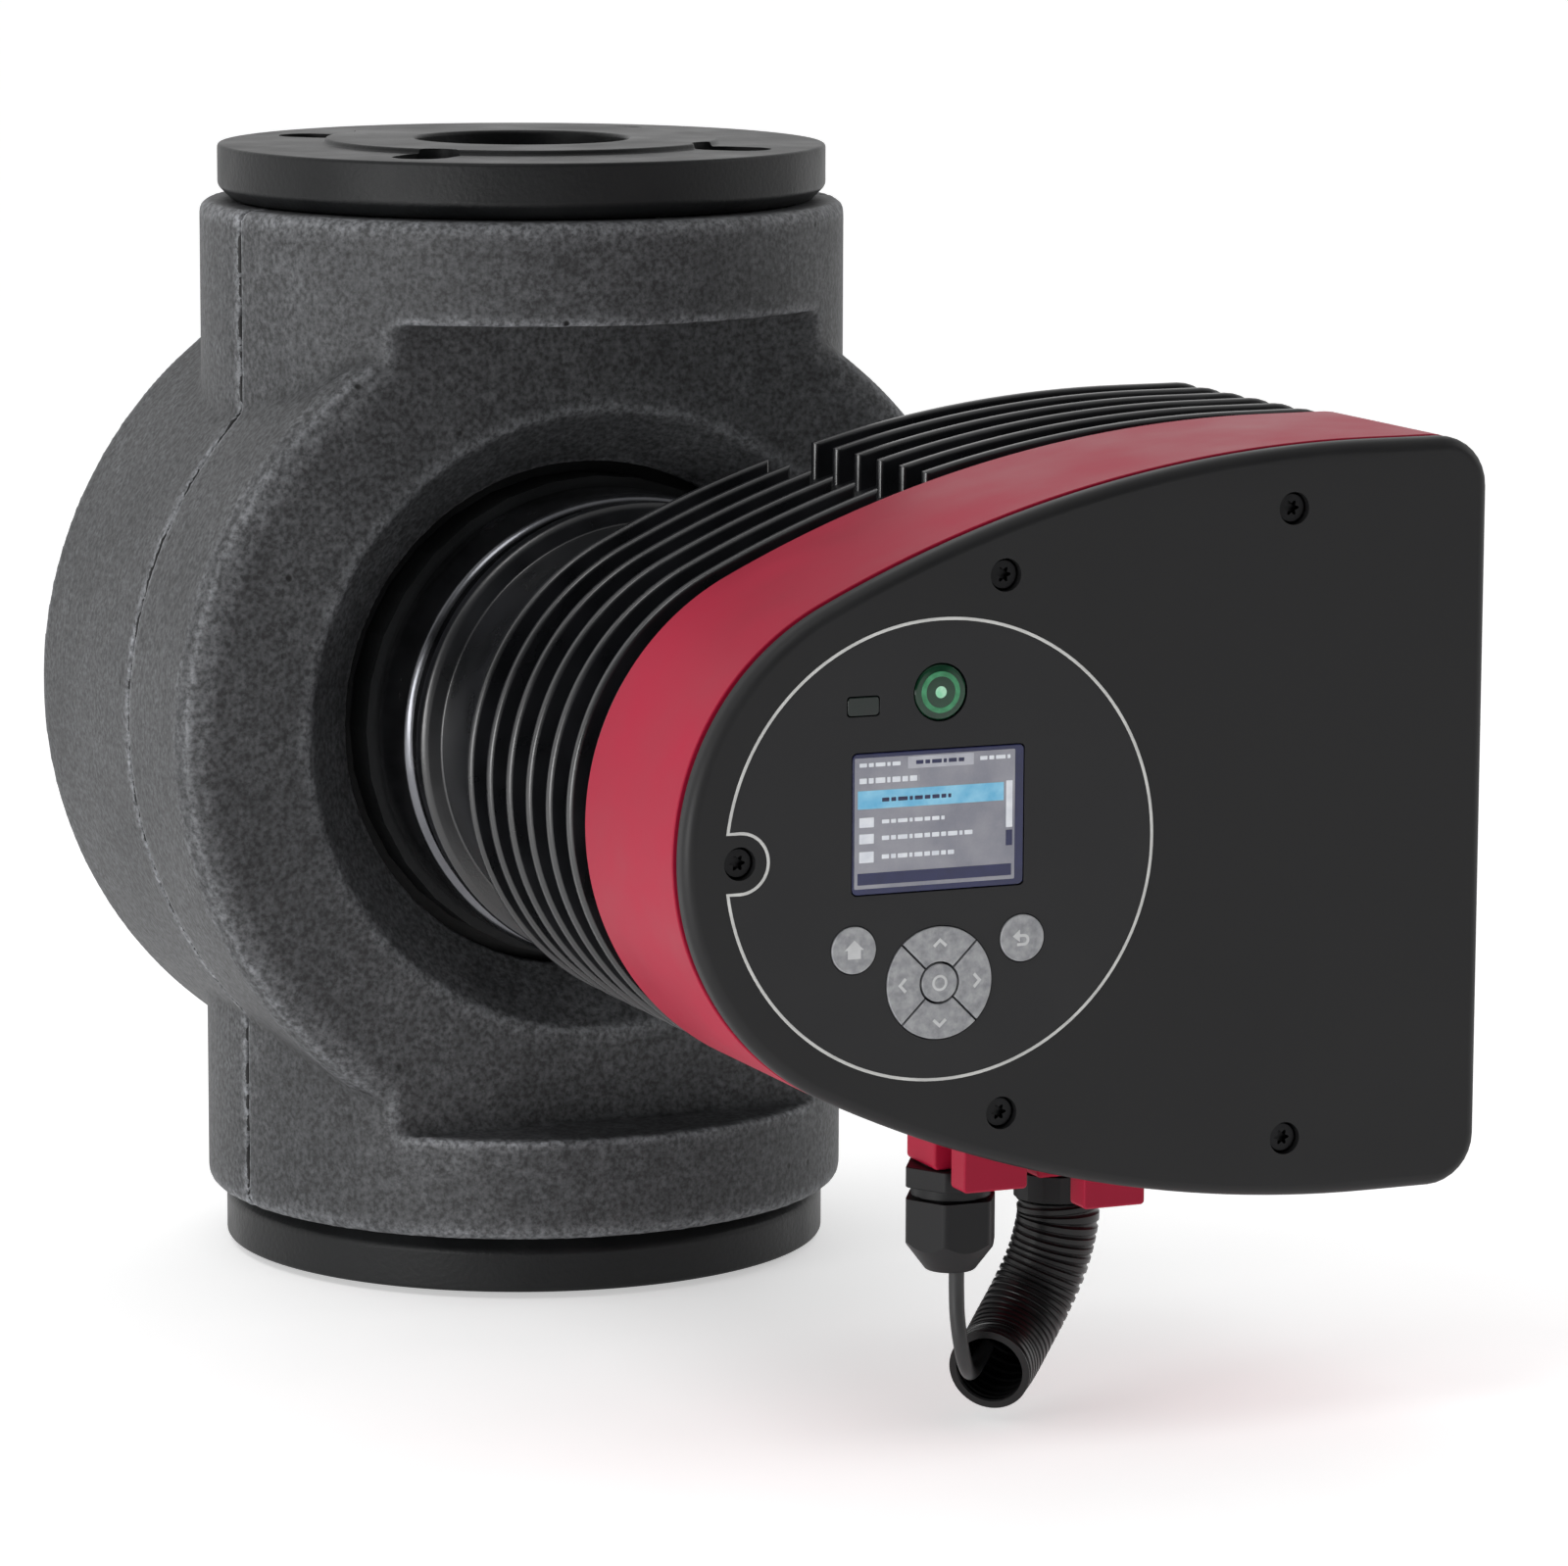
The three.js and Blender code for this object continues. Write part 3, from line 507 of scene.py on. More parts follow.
def box(name, low, high, soft=0.0):
    mesh = bpy.data.meshes.new(name)
    work = bmesh.new()
    bmesh.ops.create_cube(work, size=1)
    for vert in work.verts:
        vert.co = [((a + b) / 2 + c * (b - a)) * mm for a, b, c in zip(low, high, vert.co)]
    if soft:
        bmesh.ops.bevel(work, geom=work.edges[:], offset=soft * mm, segments=3, affect="EDGES",
                        profile=0.5)
    work.to_mesh(mesh)
    work.free()
    return smooth(objectOf(name, mesh))


# outlines as lists of (x, z) points in mm
def arc(cx, cz, radius, start, end, steps):
    angles = [math.radians(start + (end - start) * i / steps) for i in range(steps + 1)]
    return [(cx + radius * math.cos(a), cz + radius * math.sin(a)) for a in angles]


def circle(cx, cz, radius, steps=64):
    return arc(cx, cz, radius, 0, 360, steps)[:-1]


def rectangle(cx, cz, width, height, corner, steps=6):
    x, z = width / 2 - corner, height / 2 - corner
    spots = [(x, z, 0), (-x, z, 90), (-x, -z, 180), (x, -z, 270)]
    return [p for sx, sz, a in spots for p in arc(cx + sx, cz + sz, corner, a, a + 90, steps)]


def boxMm(node):
    low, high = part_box(node)
    return low / mm, high / mm


def centreMm(node):
    low, high = boxMm(node)
    return (low + high) / 2


# smooth line through given points, as evenly spaced points in mm
def route(points, spacing):
    knots = [Vector(p) for p in points]
    ends = [2 * knots[0] - knots[1], *knots, 2 * knots[-1] - knots[-2]]
    fine = []
    for a, b, c, d in zip(ends, ends[1:], ends[2:], ends[3:]):
        for t in (k / 24 for k in range(24)):
            fine.append(0.5 * (2 * b + (c - a) * t + (2 * a - 5 * b + 4 * c - d) * t * t
                               + (3 * b - a - 3 * c + d) * t ** 3))
    fine.append(knots[-1])
    lengths = [0]
    for p, q in zip(fine, fine[1:]):
        lengths.append(lengths[-1] + (q - p).length)
    count = max(round(lengths[-1] / spacing), 2)
    result, k = [], 0
    for i in range(count + 1):
        goal = lengths[-1] * i / count
        while k < len(fine) - 2 and lengths[k + 1] < goal:
            k += 1
        span = max(lengths[k + 1] - lengths[k], 1e-9)
        result.append(fine[k].lerp(fine[k + 1], (goal - lengths[k]) / span))
    return result, lengths[-1]


# tube along centre points; radii is a list of (outer, inner) for each point, inner 0 for a solid
def sweep(name, centres, radii, sides):
    verts, faces = [], []
    tangent = (centres[1] - centres[0]).normalized()
    side = tangent.orthogonal().normalized()
    skins = (0, 1) if radii[0][1] else (0,)
    for i, centre in enumerate(centres):
        ahead = (centres[min(i + 1, len(centres) - 1)] - centres[max(i - 1, 0)]).normalized()
        side = (side - ahead * side.dot(ahead)).normalized()
        other = ahead.cross(side)
        for skin in skins:
            for k in range(sides):
                angle = 2 * math.pi * k / sides
                outward = math.cos(angle) * side + math.sin(angle) * other
                verts.append((centre + radii[i][skin] * outward) * mm)
    stride = sides * len(skins)
    for i in range(len(centres) - 1):
        for skin in skins:
            for k in range(sides):
                a = i * stride + skin * sides + k
                b = i * stride + skin * sides + (k + 1) % sides
                faces.append((a, b, b + stride, a + stride))
    last = (len(centres) - 1) * stride
    if len(skins) == 2:
        for k in range(sides):
            j = (k + 1) % sides
            faces.append((k, j, sides + j, sides + k))
            faces.append((last + k, last + j, last + sides + j, last + sides + k))
    else:
        faces.append(tuple(range(sides)))
        faces.append(tuple(last + k for k in range(sides)))
    mesh = bpy.data.meshes.new(name)
    mesh.from_pydata(verts, [], faces)
    return tidy(objectOf(name, mesh))


# pump housing: two flanged ports on a cast body

flangeSet = {"radius": 92.5, "thick": 18, "bore": 32.5, "face": 60, "lift": 1.5, "chamfer": 4,
             "step": 0.4, "soft": 1.2, "sides": 160, "bolts": 69, "holeR": 8.5, "slot": 7.5,
             "firstBolt": 45, "overlap": 0.5}


# a slotted flange over the upper port, or its mirror image over the lower one
def flange(sign):
    half = boxMm("pump_housing")[1].z
    radius, bore, chamfer, holeR = (flangeSet[k] for k in ("radius", "bore", "chamfer", "holeR"))
    low, top = half - flangeSet["thick"], half - flangeSet["lift"]
    corners = [(bore, low), (radius - chamfer, low), (radius, low + chamfer), (radius, top),
               (flangeSet["face"], top), (flangeSet["face"] - flangeSet["step"], half), (bore, half)]
    piece = turned("flange", rounded(corners, flangeSet["soft"]), flangeSet["sides"], "Z")
    near, far = (flangeSet["bolts"] + s * flangeSet["slot"] / 2 for s in (-1, 1))
    outline = arc(far, 0, holeR, -90, 90, 16) + arc(near, 0, holeR, 90, 270, 16)
    tools = []
    for turn in range(4):
        tool = plate("slotTool", [outline], low - 3, half + 3)
        tool.data.transform(Matrix.Rotation(math.pi / 2, 4, "X"))
        tool.data.transform(Matrix.Rotation(math.radians(flangeSet["firstBolt"] + 90 * turn), 4, "Z"))
        tools.append(tool)
    piece = carve(piece, tools)
    if sign < 0:
        piece.data.transform(Matrix.Diagonal((1, 1, -1, 1)))
        piece.data.flip_normals()
    return piece


# the housing between the flanges keeps its solid's own shape
def castBody():
    low = boxMm("pump_housing")[1].z - flangeSet["thick"] + flangeSet["overlap"]
    work = bmesh.new()
    work.from_mesh(nodes["pump_housing"].data)
    for sign in (1, -1):
        geometry = work.verts[:] + work.edges[:] + work.faces[:]
        bmesh.ops.bisect_plane(work, geom=geometry, plane_co=(0, 0, sign * low * mm), plane_no=(0, 0, sign),
                               clear_outer=True)
    mesh = bpy.data.meshes.new("castBody")
    work.to_mesh(mesh)
    work.free()
    return objectOf("castBody", mesh)


def housingVisual():
    piece = joined("housing", [flange(1), flange(-1), castBody()])
    place(piece, "enamelledCastIron", "cast_iron_black", replaced=["pump_housing"])


housingVisual()
print("housing ready")

# foam shells: remeshed so every edge is soft, as bead foam comes out of its mould

shellSet = {"voxel": 1.5, "quickVoxel": 4.0, "soften": 3, "ragged": 0.9, "raggedReach": 2.4,
            "raggedLength": 9.0, "finer": 0.3, "discSides": 60, "discFrom": 122, "discTo": 133.1,
            "neckSides": 48, "neckFrom": 94}


# the moulding line is never straight, so both lips of the joint wander a little
def wander(mesh, split, sign):
    for vert in mesh.vertices:
        near = 1 - abs(vert.co.y / mm - split) / shellSet["raggedReach"]
        if near > 0:
            length = shellSet["raggedLength"] * mm
            shift = abs(noise.noise(vert.co / length))
            shift += abs(noise.noise(vert.co / (length * shellSet["finer"])))
            vert.co.y += sign * shift * near * shellSet["ragged"] * mm


# takes the flats of the coarse source out of the round surfaces: the disc about Y and the necks about Z
def roundOff(mesh):
    discPart, neckPart = math.tau / shellSet["discSides"], math.tau / shellSet["neckSides"]
    for vert in mesh.vertices:
        x, y, z = vert.co
        aboutY, aboutZ = math.hypot(x, z) / mm, math.hypot(x, y) / mm
        if shellSet["discFrom"] < aboutY < shellSet["discTo"]:
            phase = math.atan2(z, x) % discPart - discPart / 2
            grow = math.cos(phase) / math.cos(discPart / 2)
            vert.co.x, vert.co.z = x * grow, z * grow
        elif aboutY > shellSet["discTo"] and aboutZ > shellSet["neckFrom"]:
            phase = math.atan2(y, x) % neckPart - neckPart / 2
            grow = math.cos(phase) / math.cos(neckPart / 2)
            vert.co.x, vert.co.y = x * grow, y * grow


def shellVisual(node, sign):
    piece = objectOf(node + "_moulded", nodes[node].data.copy())
    cells = piece.modifiers.new("cells", "REMESH")
    cells.mode = "VOXEL"
    cells.voxel_size = shellSet["voxel"] * mm
    relax = piece.modifiers.new("relax", "SMOOTH")
    relax.factor = 0.5
    relax.iterations = shellSet["soften"]
    bpy.context.view_layer.update()
    mesh = bpy.data.meshes.new_from_object(piece.evaluated_get(bpy.context.evaluated_depsgraph_get()))
    piece.modifiers.clear()
    roundOff(mesh)
    low, high = boxMm(node)
    wander(mesh, high.y if sign < 0 else low.y, sign)
    piece.data = mesh
    place(piece, "beadFoam", "foam_grey", replaced=[node])
    mesh.polygons.foreach_set("use_smooth", [True] * len(mesh.polygons))


shellVisual("insulation_front", -1)
shellVisual("insulation_rear", 1)
print("foam shells ready")

# head outline shared by the fins, frame and cover

headSet = {"knee": 130.0, "corner": 14.0, "noseSteps": 72, "sweepSteps": 28, "cornerSteps": 8}
coverLow, coverHigh = boxMm("control_cover")


def headOutline(inset):
    nose, top, right = -coverLow.x, coverHigh.z, coverHigh.x
    knee, corner = headSet["knee"], headSet["corner"]
    sweepRadius = (knee * knee + top * top - nose * nose) / (2 * (top - nose))
    lean = math.degrees(math.atan2(sweepRadius - top, -knee))
    bend = max(corner - inset, 1)
    x, z = right - inset - bend, top - inset - bend
    steps, few = headSet["sweepSteps"], headSet["cornerSteps"]
    return (arc(0, 0, nose - inset, lean, 360 - lean, headSet["noseSteps"])
            + arc(knee, sweepRadius - top, sweepRadius - inset, 360 - lean, 270, steps)[1:]
            + arc(x, -z, bend, 270, 360, few) + arc(x, z, bend, 0, 90, few)
            + arc(knee, top - sweepRadius, sweepRadius - inset, 90, lean, steps)[:-1])


# motor housing: neck, core and cooling fins with a break above and below

finSet = {"count": 6, "pitch": 15.5, "thick": 3.4, "depth": 11.0, "first": -147.5, "inset": 0.8,
          "soft": 1.3, "breakFrom": 19.0, "breakTo": 33.0, "breakDeeper": 2.5}


# the fin's outline, drawn in to the core between the two sides of the break
def finOutline():
    outer = headOutline(finSet["inset"])
    deep = finSet["depth"] + finSet["breakDeeper"]
    start, end = finSet["breakFrom"], finSet["breakTo"]
    result = []
    for (x0, z0), (x1, z1) in zip(outer, outer[1:] + outer[:1]):
        result.append((x0, z0 - math.copysign(deep, z0)) if start < x0 < end else (x0, z0))
        crossings = sorted((abs(edge - x0), edge) for edge in (start, end)
                           if (x0 - edge) * (x1 - edge) < 0)
        for _, edge in crossings:
            z = z0 + (z1 - z0) * (edge - x0) / (x1 - x0)
            inner = (edge, z - math.copysign(deep, z))
            inward = (x1 > x0) == (edge == start)
            result += [(edge, z), inner] if inward else [inner, (edge, z)]
    return result


motorSet = {
    # radius and y round the tube: plain end, clamp groove, shoulders and bore
    "barrel": [(52, -52), (63.6, -52), (63.6, -88), (66, -88.3), (66, -93), (69.2, -93.4), (69.2, -97.6),
               (67.8, -98.6), (63.2, -99.4), (63, -148), (52, -148)],
    "barrelSoft": 0.7,
    # the core under the fins and the base against the frame: inset, front, back, edge
    "core": (finSet["depth"], -239.6, -146, 0.8),
    "base": (3, -240.0, -233.0, 0.6),
}


def motorVisual():
    parts = [turned("barrel", rounded(motorSet["barrel"], motorSet["barrelSoft"]), 128)]
    for name in ("core", "base"):
        inset, front, back, soft = motorSet[name]
        parts.append(plate(name, [headOutline(inset)], front, back, soft))
    for i in range(finSet["count"]):
        y, half = finSet["first"] - i * finSet["pitch"], finSet["thick"] / 2
        parts.append(plate("fin", [finOutline()], y - half, y + half, finSet["soft"]))
    piece = joined("motorCasting", parts)
    place(piece, "powderCoatedAluminium", "cast_black", replaced=["stator_housing"])


clampSet = {"inner": 64.2, "outer": 70.3, "front": -87.7, "back": -61.4, "soft": 1.0,
            "frontEdge": (1.6, 1.8), "backEdge": (1.2, 1.6),
            "split": ((60, -95, -1.5), (90, -50, 1.5)), "lugFrom": 68, "lugTo": 80.0, "lugHalf": 8,
            "lugMiddle": 5.25, "lugThick": 3.75, "lugSoft": 1.0}


# a split band with two lugs for its screw
def clampVisual():
    inner, outer, front, back = (clampSet[k] for k in ("inner", "outer", "front", "back"))
    frontIn, frontUp = clampSet["frontEdge"]
    backIn, backUp = clampSet["backEdge"]
    corners = [(inner, front), (outer - frontIn, front), (outer, front + frontUp), (outer, back - backUp),
               (outer - backIn, back), (inner, back)]
    band = turned("band", rounded(corners, clampSet["soft"]), 160)
    band = carve(band, [box("split", *clampSet["split"])])
    middle, half = (front + back) / 2, clampSet["lugHalf"]
    lugs = []
    for side in (1, -1):
        z, thick = side * clampSet["lugMiddle"], clampSet["lugThick"]
        lugs.append(box("lug", (clampSet["lugFrom"], middle - half, z - thick),
                        (clampSet["lugTo"], middle + half, z + thick), clampSet["lugSoft"]))
    place(joined("clampBand", [band, *lugs]), "burnishedSteel", "steel_black", replaced=["clamp_ring"])


motorVisual()
clampVisual()
print("motor ready")

# control box: red frame, black cover, operating panel

frameSet = {
    "wall": 4.0, "soft": 0.5, "bossCorner": 1.5, "bossSoft": 0.8, "tabCorner": 1.2, "tabSoft": 0.7,
    # bosses round the two cable entries: entry, middle height, width, height, half depth
    "bosses": [("gland_body", -86.7, 18.4, 13.4, 9.3), ("conduit_adapter", -99, 24, 8, 12)],
    # tabs beside them: middle x, middle z, width, height
    "tabs": [(21.5, -88.5, 19, 17), (57.25, -98.25, 18.5, 12.5)],
    "tabFront": -302, "tabBack": -293,
}


def frameVisual():
    low, high = boxMm("control_frame")
    outlines = [headOutline(0), headOutline(frameSet["wall"])[::-1]]
    parts = [plate("band", outlines, low.y, high.y, frameSet["soft"])]
    for entry, z, width, height, half in frameSet["bosses"]:
        middle = centreMm(entry)
        outline = rectangle(middle.x, z, width, height, frameSet["bossCorner"])
        parts.append(plate("boss", [outline], middle.y - half, middle.y + half, frameSet["bossSoft"]))
    for x, z, width, height in frameSet["tabs"]:
        outline = rectangle(x, z, width, height, frameSet["tabCorner"])
        parts.append(plate("tab", [outline], frameSet["tabFront"], frameSet["tabBack"],
                           frameSet["tabSoft"]))
    place(joined("redFrame", parts), "crimsonAbs", "plastic_red", replaced=["control_frame"])


panelSet = {"radius": 62.4, "notch": 8.0, "thick": 1.0, "soft": 0.12, "edgeGap": 0.3, "holeGap": 0.25,
            "line": 0.85, "lineLift": 0.12, "lineDeep": 0.8, "lineSoft": 0.1, "lineOut": 0.15}
screwNodes = [f"cover_screw_{i}" for i in range(1, 6)]
screwSpots = [(centreMm(n).x, centreMm(n).z) for n in screwNodes]


# circle with a round notch about the cover screw at its left edge
def panelOutline(clearance):
    x = min(s[0] for s in screwSpots)
    radius, notch = panelSet["radius"] - clearance, panelSet["notch"] + clearance
    reach = math.degrees(math.asin(notch / panelSet["radius"]))
    return arc(0, 0, radius, -180 + reach, 180 - reach, 140) + arc(x, 0, notch, 90, -90, 24)


# openings in the panel and cover for the screen, lamps and keys, each wider by the clearance
def faceHoles(clearance):
    holes = []
    for node, corner in (("display_window", 1.5), ("status_window", 1.0)):
        low, high = boxMm(node)
        middle = (low + high) / 2
        width, height = high.x - low.x + 2 * clearance, high.z - low.z + 2 * clearance
        holes.append(rectangle(middle.x, middle.z, width, height, corner))
    for node in ("indicator_lens", "key_home", "key_back"):
        low, high = boxMm(node)
        middle = (low + high) / 2
        holes.append(circle(middle.x, middle.z, (high.x - low.x) / 2 + clearance))
    ok = centreMm("key_ok")
    pad = boxMm("key_right")[1].x - ok.x
    holes.append(circle(ok.x, ok.z, pad + clearance, 96))
    return [h[::-1] for h in holes]


coverSet = {"soft": 3.4, "wall": 5, "face": 4, "seat": 1.2, "holeGap": 0.35, "wellR": 4.5, "wellDeep": 5.5,
            "bossR": 7, "bossFrom": 3.9}


def coverVisual():
    face, back = coverLow.y, coverHigh.y
    shell = plate("shell", [headOutline(0)], face, back, coverSet["soft"])
    inside = plate("inside", [headOutline(coverSet["wall"])], face + coverSet["face"], back + 1)
    tools = [plate("seat", [panelOutline(0)], face - 1, face + coverSet["seat"])]
    bosses = []
    for x, z in screwSpots:
        radius, deep = coverSet["wellR"], face + coverSet["wellDeep"]
        tools.append(turned("well", [(0, face - 1), (radius, face - 1), (radius, deep), (0, deep)], 48,
                            centre=(x, 0, z)))
        radius, start = coverSet["bossR"], face + coverSet["bossFrom"]
        bosses.append(turned("boss", [(0, start), (radius, start), (radius, back), (0, back)], 40,
                             centre=(x, 0, z)))
    holes = faceHoles(coverSet["holeGap"])
    tools.append(joined("holes", [plate("hole", [hole[::-1]], face - 1, back) for hole in holes]))
    shell = carve(shell, [inside])
    shell = carve(shell, bosses, "UNION")
    place(carve(shell, tools), "texturedAbs", "plastic_black", replaced=["control_cover"])


def panelVisual():
    face = coverLow.y
    outlines = [panelOutline(panelSet["edgeGap"]), *faceHoles(panelSet["holeGap"])]
    film = plate("film", outlines, face, face + panelSet["thick"], panelSet["soft"])
    place(film, "printedPolyester", "panel_black", replaced=["display_panel"])
    half, middle = panelSet["line"] / 2, panelSet["lineOut"]
    line = plate("ringLine", [panelOutline(middle - half), panelOutline(middle + half)[::-1]],
                 face - panelSet["lineLift"], face + panelSet["lineDeep"], panelSet["lineSoft"])
    place(line, "printedSilverInk", "plate_silver")


screwSet = {"radius": 4.1, "chamfer": (0.2, 0.5), "tall": 3.4, "soft": 0.5,
            "socketR": 1.75, "lobeRise": 0.45, "lobes": 6, "socketDeep": 2}


# a low cylinder head with a six-lobed socket
def screwVisual(node):
    face, middle = boxMm(node)[0].y, centreMm(node)
    radius, tall = screwSet["radius"], face + screwSet["tall"]
    inward, deep = screwSet["chamfer"]
    corners = [(0, face), (radius - inward, face), (radius, face + deep), (radius, tall), (0, tall)]
    head = turned("screwHead", rounded(corners, screwSet["soft"], closed=False), 48,
                  centre=(middle.x, 0, middle.z))
    socket = []
    for angle in (math.tau * i / 72 for i in range(72)):
        reach = screwSet["socketR"] + screwSet["lobeRise"] * math.cos(screwSet["lobes"] * angle)
        socket.append((middle.x + reach * math.cos(angle), middle.z + reach * math.sin(angle)))
    head = carve(head, [plate("lobeTool", [socket], face - 1, face + screwSet["socketDeep"])])
    place(head, "blackenedSteel", "steel_black", replaced=[node])


frameVisual()
coverVisual()
panelVisual()
for screwNode in screwNodes:
    screwVisual(screwNode)
print("control box ready")

# screen, lamp and keys

screenSet = {
    # each block: left, right, top, bottom as shares of the page, and its finish
    "blocks": [
        (0.02, 0.93, 0.75, 0.61, "screenBlue"), (0.03, 0.12, 0.545, 0.47, "screenWhite"),
        (0.03, 0.12, 0.42, 0.345, "screenWhite"), (0.03, 0.12, 0.285, 0.20, "screenWhite"),
        (0.945, 0.985, 0.76, 0.40, "screenWhite"), (0.945, 0.985, 0.38, 0.26, "screenNavy"),
        (0.02, 0.98, 0.12, 0.03, "screenNavy"), (0.33, 0.74, 0.99, 0.90, "screenPale"),
    ],
    # each line of dashes: left, right, middle height, dash height, finish
    "lines": [
        (0.03, 0.29, 0.945, 0.030, "screenWhite"), (0.38, 0.68, 0.945, 0.030, "screenNavy"),
        (0.78, 0.97, 0.945, 0.030, "screenWhite"), (0.03, 0.40, 0.825, 0.042, "screenWhite"),
        (0.17, 0.60, 0.675, 0.030, "screenNavy"), (0.17, 0.56, 0.508, 0.030, "screenWhite"),
        (0.17, 0.74, 0.383, 0.034, "screenWhite"), (0.17, 0.62, 0.240, 0.034, "screenWhite"),
    ],
    "dashes": (0.045, 0.03, 0.06, 0.02, 0.05, 0.035), "space": 0.012, "rowCorner": 0.15,
    # blocks wider than this share lie lower than the dashes on them
    "wide": 0.4, "lowLift": 0.055, "highLift": 0.07, "pageLift": 0.03,
    "paneCorner": 1.5, "paneSoft": 0.25,
    # the navy border's width on each side
    "left": 0.6, "right": 2.6, "bottom": 1.6, "top": 1.2,
}


# rows of short dashes of uneven length, standing in for words
def dashes(line):
    left, right, middle, height, paint = line
    shares, lengths, i = [], screenSet["dashes"], 0
    while left < right:
        end = min(left + lengths[i % len(lengths)], right)
        shares.append((left, end, middle + height / 2, middle - height / 2, paint))
        left, i = end + screenSet["space"], i + 1
    return shares


def screenVisual():
    low, high = boxMm("display_window")
    face, middle = low.y, (low + high) / 2
    width, height = high.x - low.x, high.z - low.z
    outline = rectangle(middle.x, middle.z, width, height, screenSet["paneCorner"])
    pane = plate("windowPane", [outline], face, high.y, screenSet["paneSoft"])
    place(pane, "screenNavy", "window", replaced=["display_window"])
    left, bottom = low.x + screenSet["left"], low.z + screenSet["bottom"]
    pageWidth = width - screenSet["left"] - screenSet["right"]
    pageHeight = height - screenSet["bottom"] - screenSet["top"]
    outline = rectangle(left + pageWidth / 2, bottom + pageHeight / 2, pageWidth, pageHeight, 0.3, 2)
    page = plate("page", [outline], face - screenSet["pageLift"], face + 0.1)
    place(page, "screenGrey", "window")
    grouped = {}
    rows = screenSet["blocks"] + [dash for line in screenSet["lines"] for dash in dashes(line)]
    for x0, x1, z1, z0, paint in rows:
        a, b = left + x0 * pageWidth, left + x1 * pageWidth
        c, d = bottom + z0 * pageHeight, bottom + z1 * pageHeight
        under = paint == "screenBlue" or x1 - x0 > screenSet["wide"]
        outline = rectangle((a + b) / 2, (c + d) / 2, b - a, d - c, screenSet["rowCorner"], 2)
        row = plate("row", [outline], face - screenSet["lowLift" if under else "highLift"], face + 0.05)
        grouped.setdefault(paint, []).append(row)
    for paint, pieces in grouped.items():
        place(joined("rows_" + paint, pieces), paint, "window")


lampSet = {
    "flat": 3.0, "soft": 0.4,
    # the dome's edge: how far in from the rim and how far back from the face
    "dome": [(2.6, 0.12), (0.5, 0.3), (0, 0.8)],
    # rings on the lens: name, inner and outer radius, finish
    "bands": [("lampRing", 4.2, 5.6, "paleGreenAcrylic"), ("lampDot", 0, 1.7, "litAcrylic")],
    "bandLift": 0.02, "bandDeep": 0.5,
}


def lampVisual():
    low, high = boxMm("indicator_lens")
    face, middle, radius = low.y, (low + high) / 2, (high.x - low.x) / 2
    spot = (middle.x, 0, middle.z)
    edge = [(radius - inward, face + back) for inward, back in lampSet["dome"]]
    dome = [(0, face), (lampSet["flat"], face), *edge, (radius, high.y), (0, high.y)]
    lens = turned("runningLens", rounded(dome, lampSet["soft"], closed=False), 72, centre=spot)
    place(lens, "greenAcrylic", "lens_green", replaced=["indicator_lens"])
    for name, inner, outer, paint in lampSet["bands"]:
        back = face + lampSet["bandDeep"]
        corners = [(inner, face - lampSet["bandLift"]), (outer, face), (outer, back), (inner, back)]
        place(turned(name, rounded(corners, 0.1, closed=inner > 0), 72, centre=spot), paint, "lens_green")
    low, high = boxMm("status_window")
    middle = (low + high) / 2
    outline = rectangle(middle.x, middle.z, high.x - low.x, high.z - low.z, 1)
    small = plate("statusPane", [outline], low.y, high.y, 0.2)
    place(small, "unlitAcrylic", "lens_green", replaced=["status_window"])


keySet = {"pad": 15.3, "ok": 5.2, "slit": 0.6, "outerSpan": 44, "innerSpan": 42.4, "soft": 0.35,
          "sink": 0.08, "mark": 0.2, "markLift": 0.02, "markSoft": 0.02, "arrowAt": 12.2,
          "ring": (2.2, 1.5)}
# outlines of the marks, in mm from the middle of each
marks = {
    "arrow": [(0, 0), (-1.9, 2.1), (-2.5, 1.5), (-1.1, 0), (-2.5, -1.5), (-1.9, -2.1)],
    "home": [(-2.8, 0.1), (0, 2.8), (2.8, 0.1), (1.9, 0.1), (1.9, -2.3), (-1.9, -2.3), (-1.9, 0.1)],
    "back": [(-2.9, 0.6), (-0.8, 2.4), (-0.8, 1.1), *arc(0.4, -0.5, 1.6, 90, -90, 10), (-1.6, -2.1),
             (-1.6, -1.3), *arc(0.4, -0.5, 0.8, -90, 90, 10), (-0.8, 0.3), (-0.8, -1.0)],
}
quarters = {"key_right": 0, "key_up": 90, "key_left": 180, "key_down": 270}


def bodyOf(node):
    return node.replace("key_", "") + "_key"


def markOn(name, outlines, node):
    face = boxMm(node)[0].y
    mark = plate(name, outlines, face + keySet["markLift"], face + keySet["mark"], keySet["markSoft"])
    place(mark, "printedKeyInk", "key_grey", bodyOf(node))


def keyCap(node, outline):
    low, high = boxMm(node)
    cap = plate(node + "_cap", [outline], low.y + keySet["sink"], high.y, keySet["soft"])
    place(cap, "mouldedSilicone", "key_grey", bodyOf(node), [node])


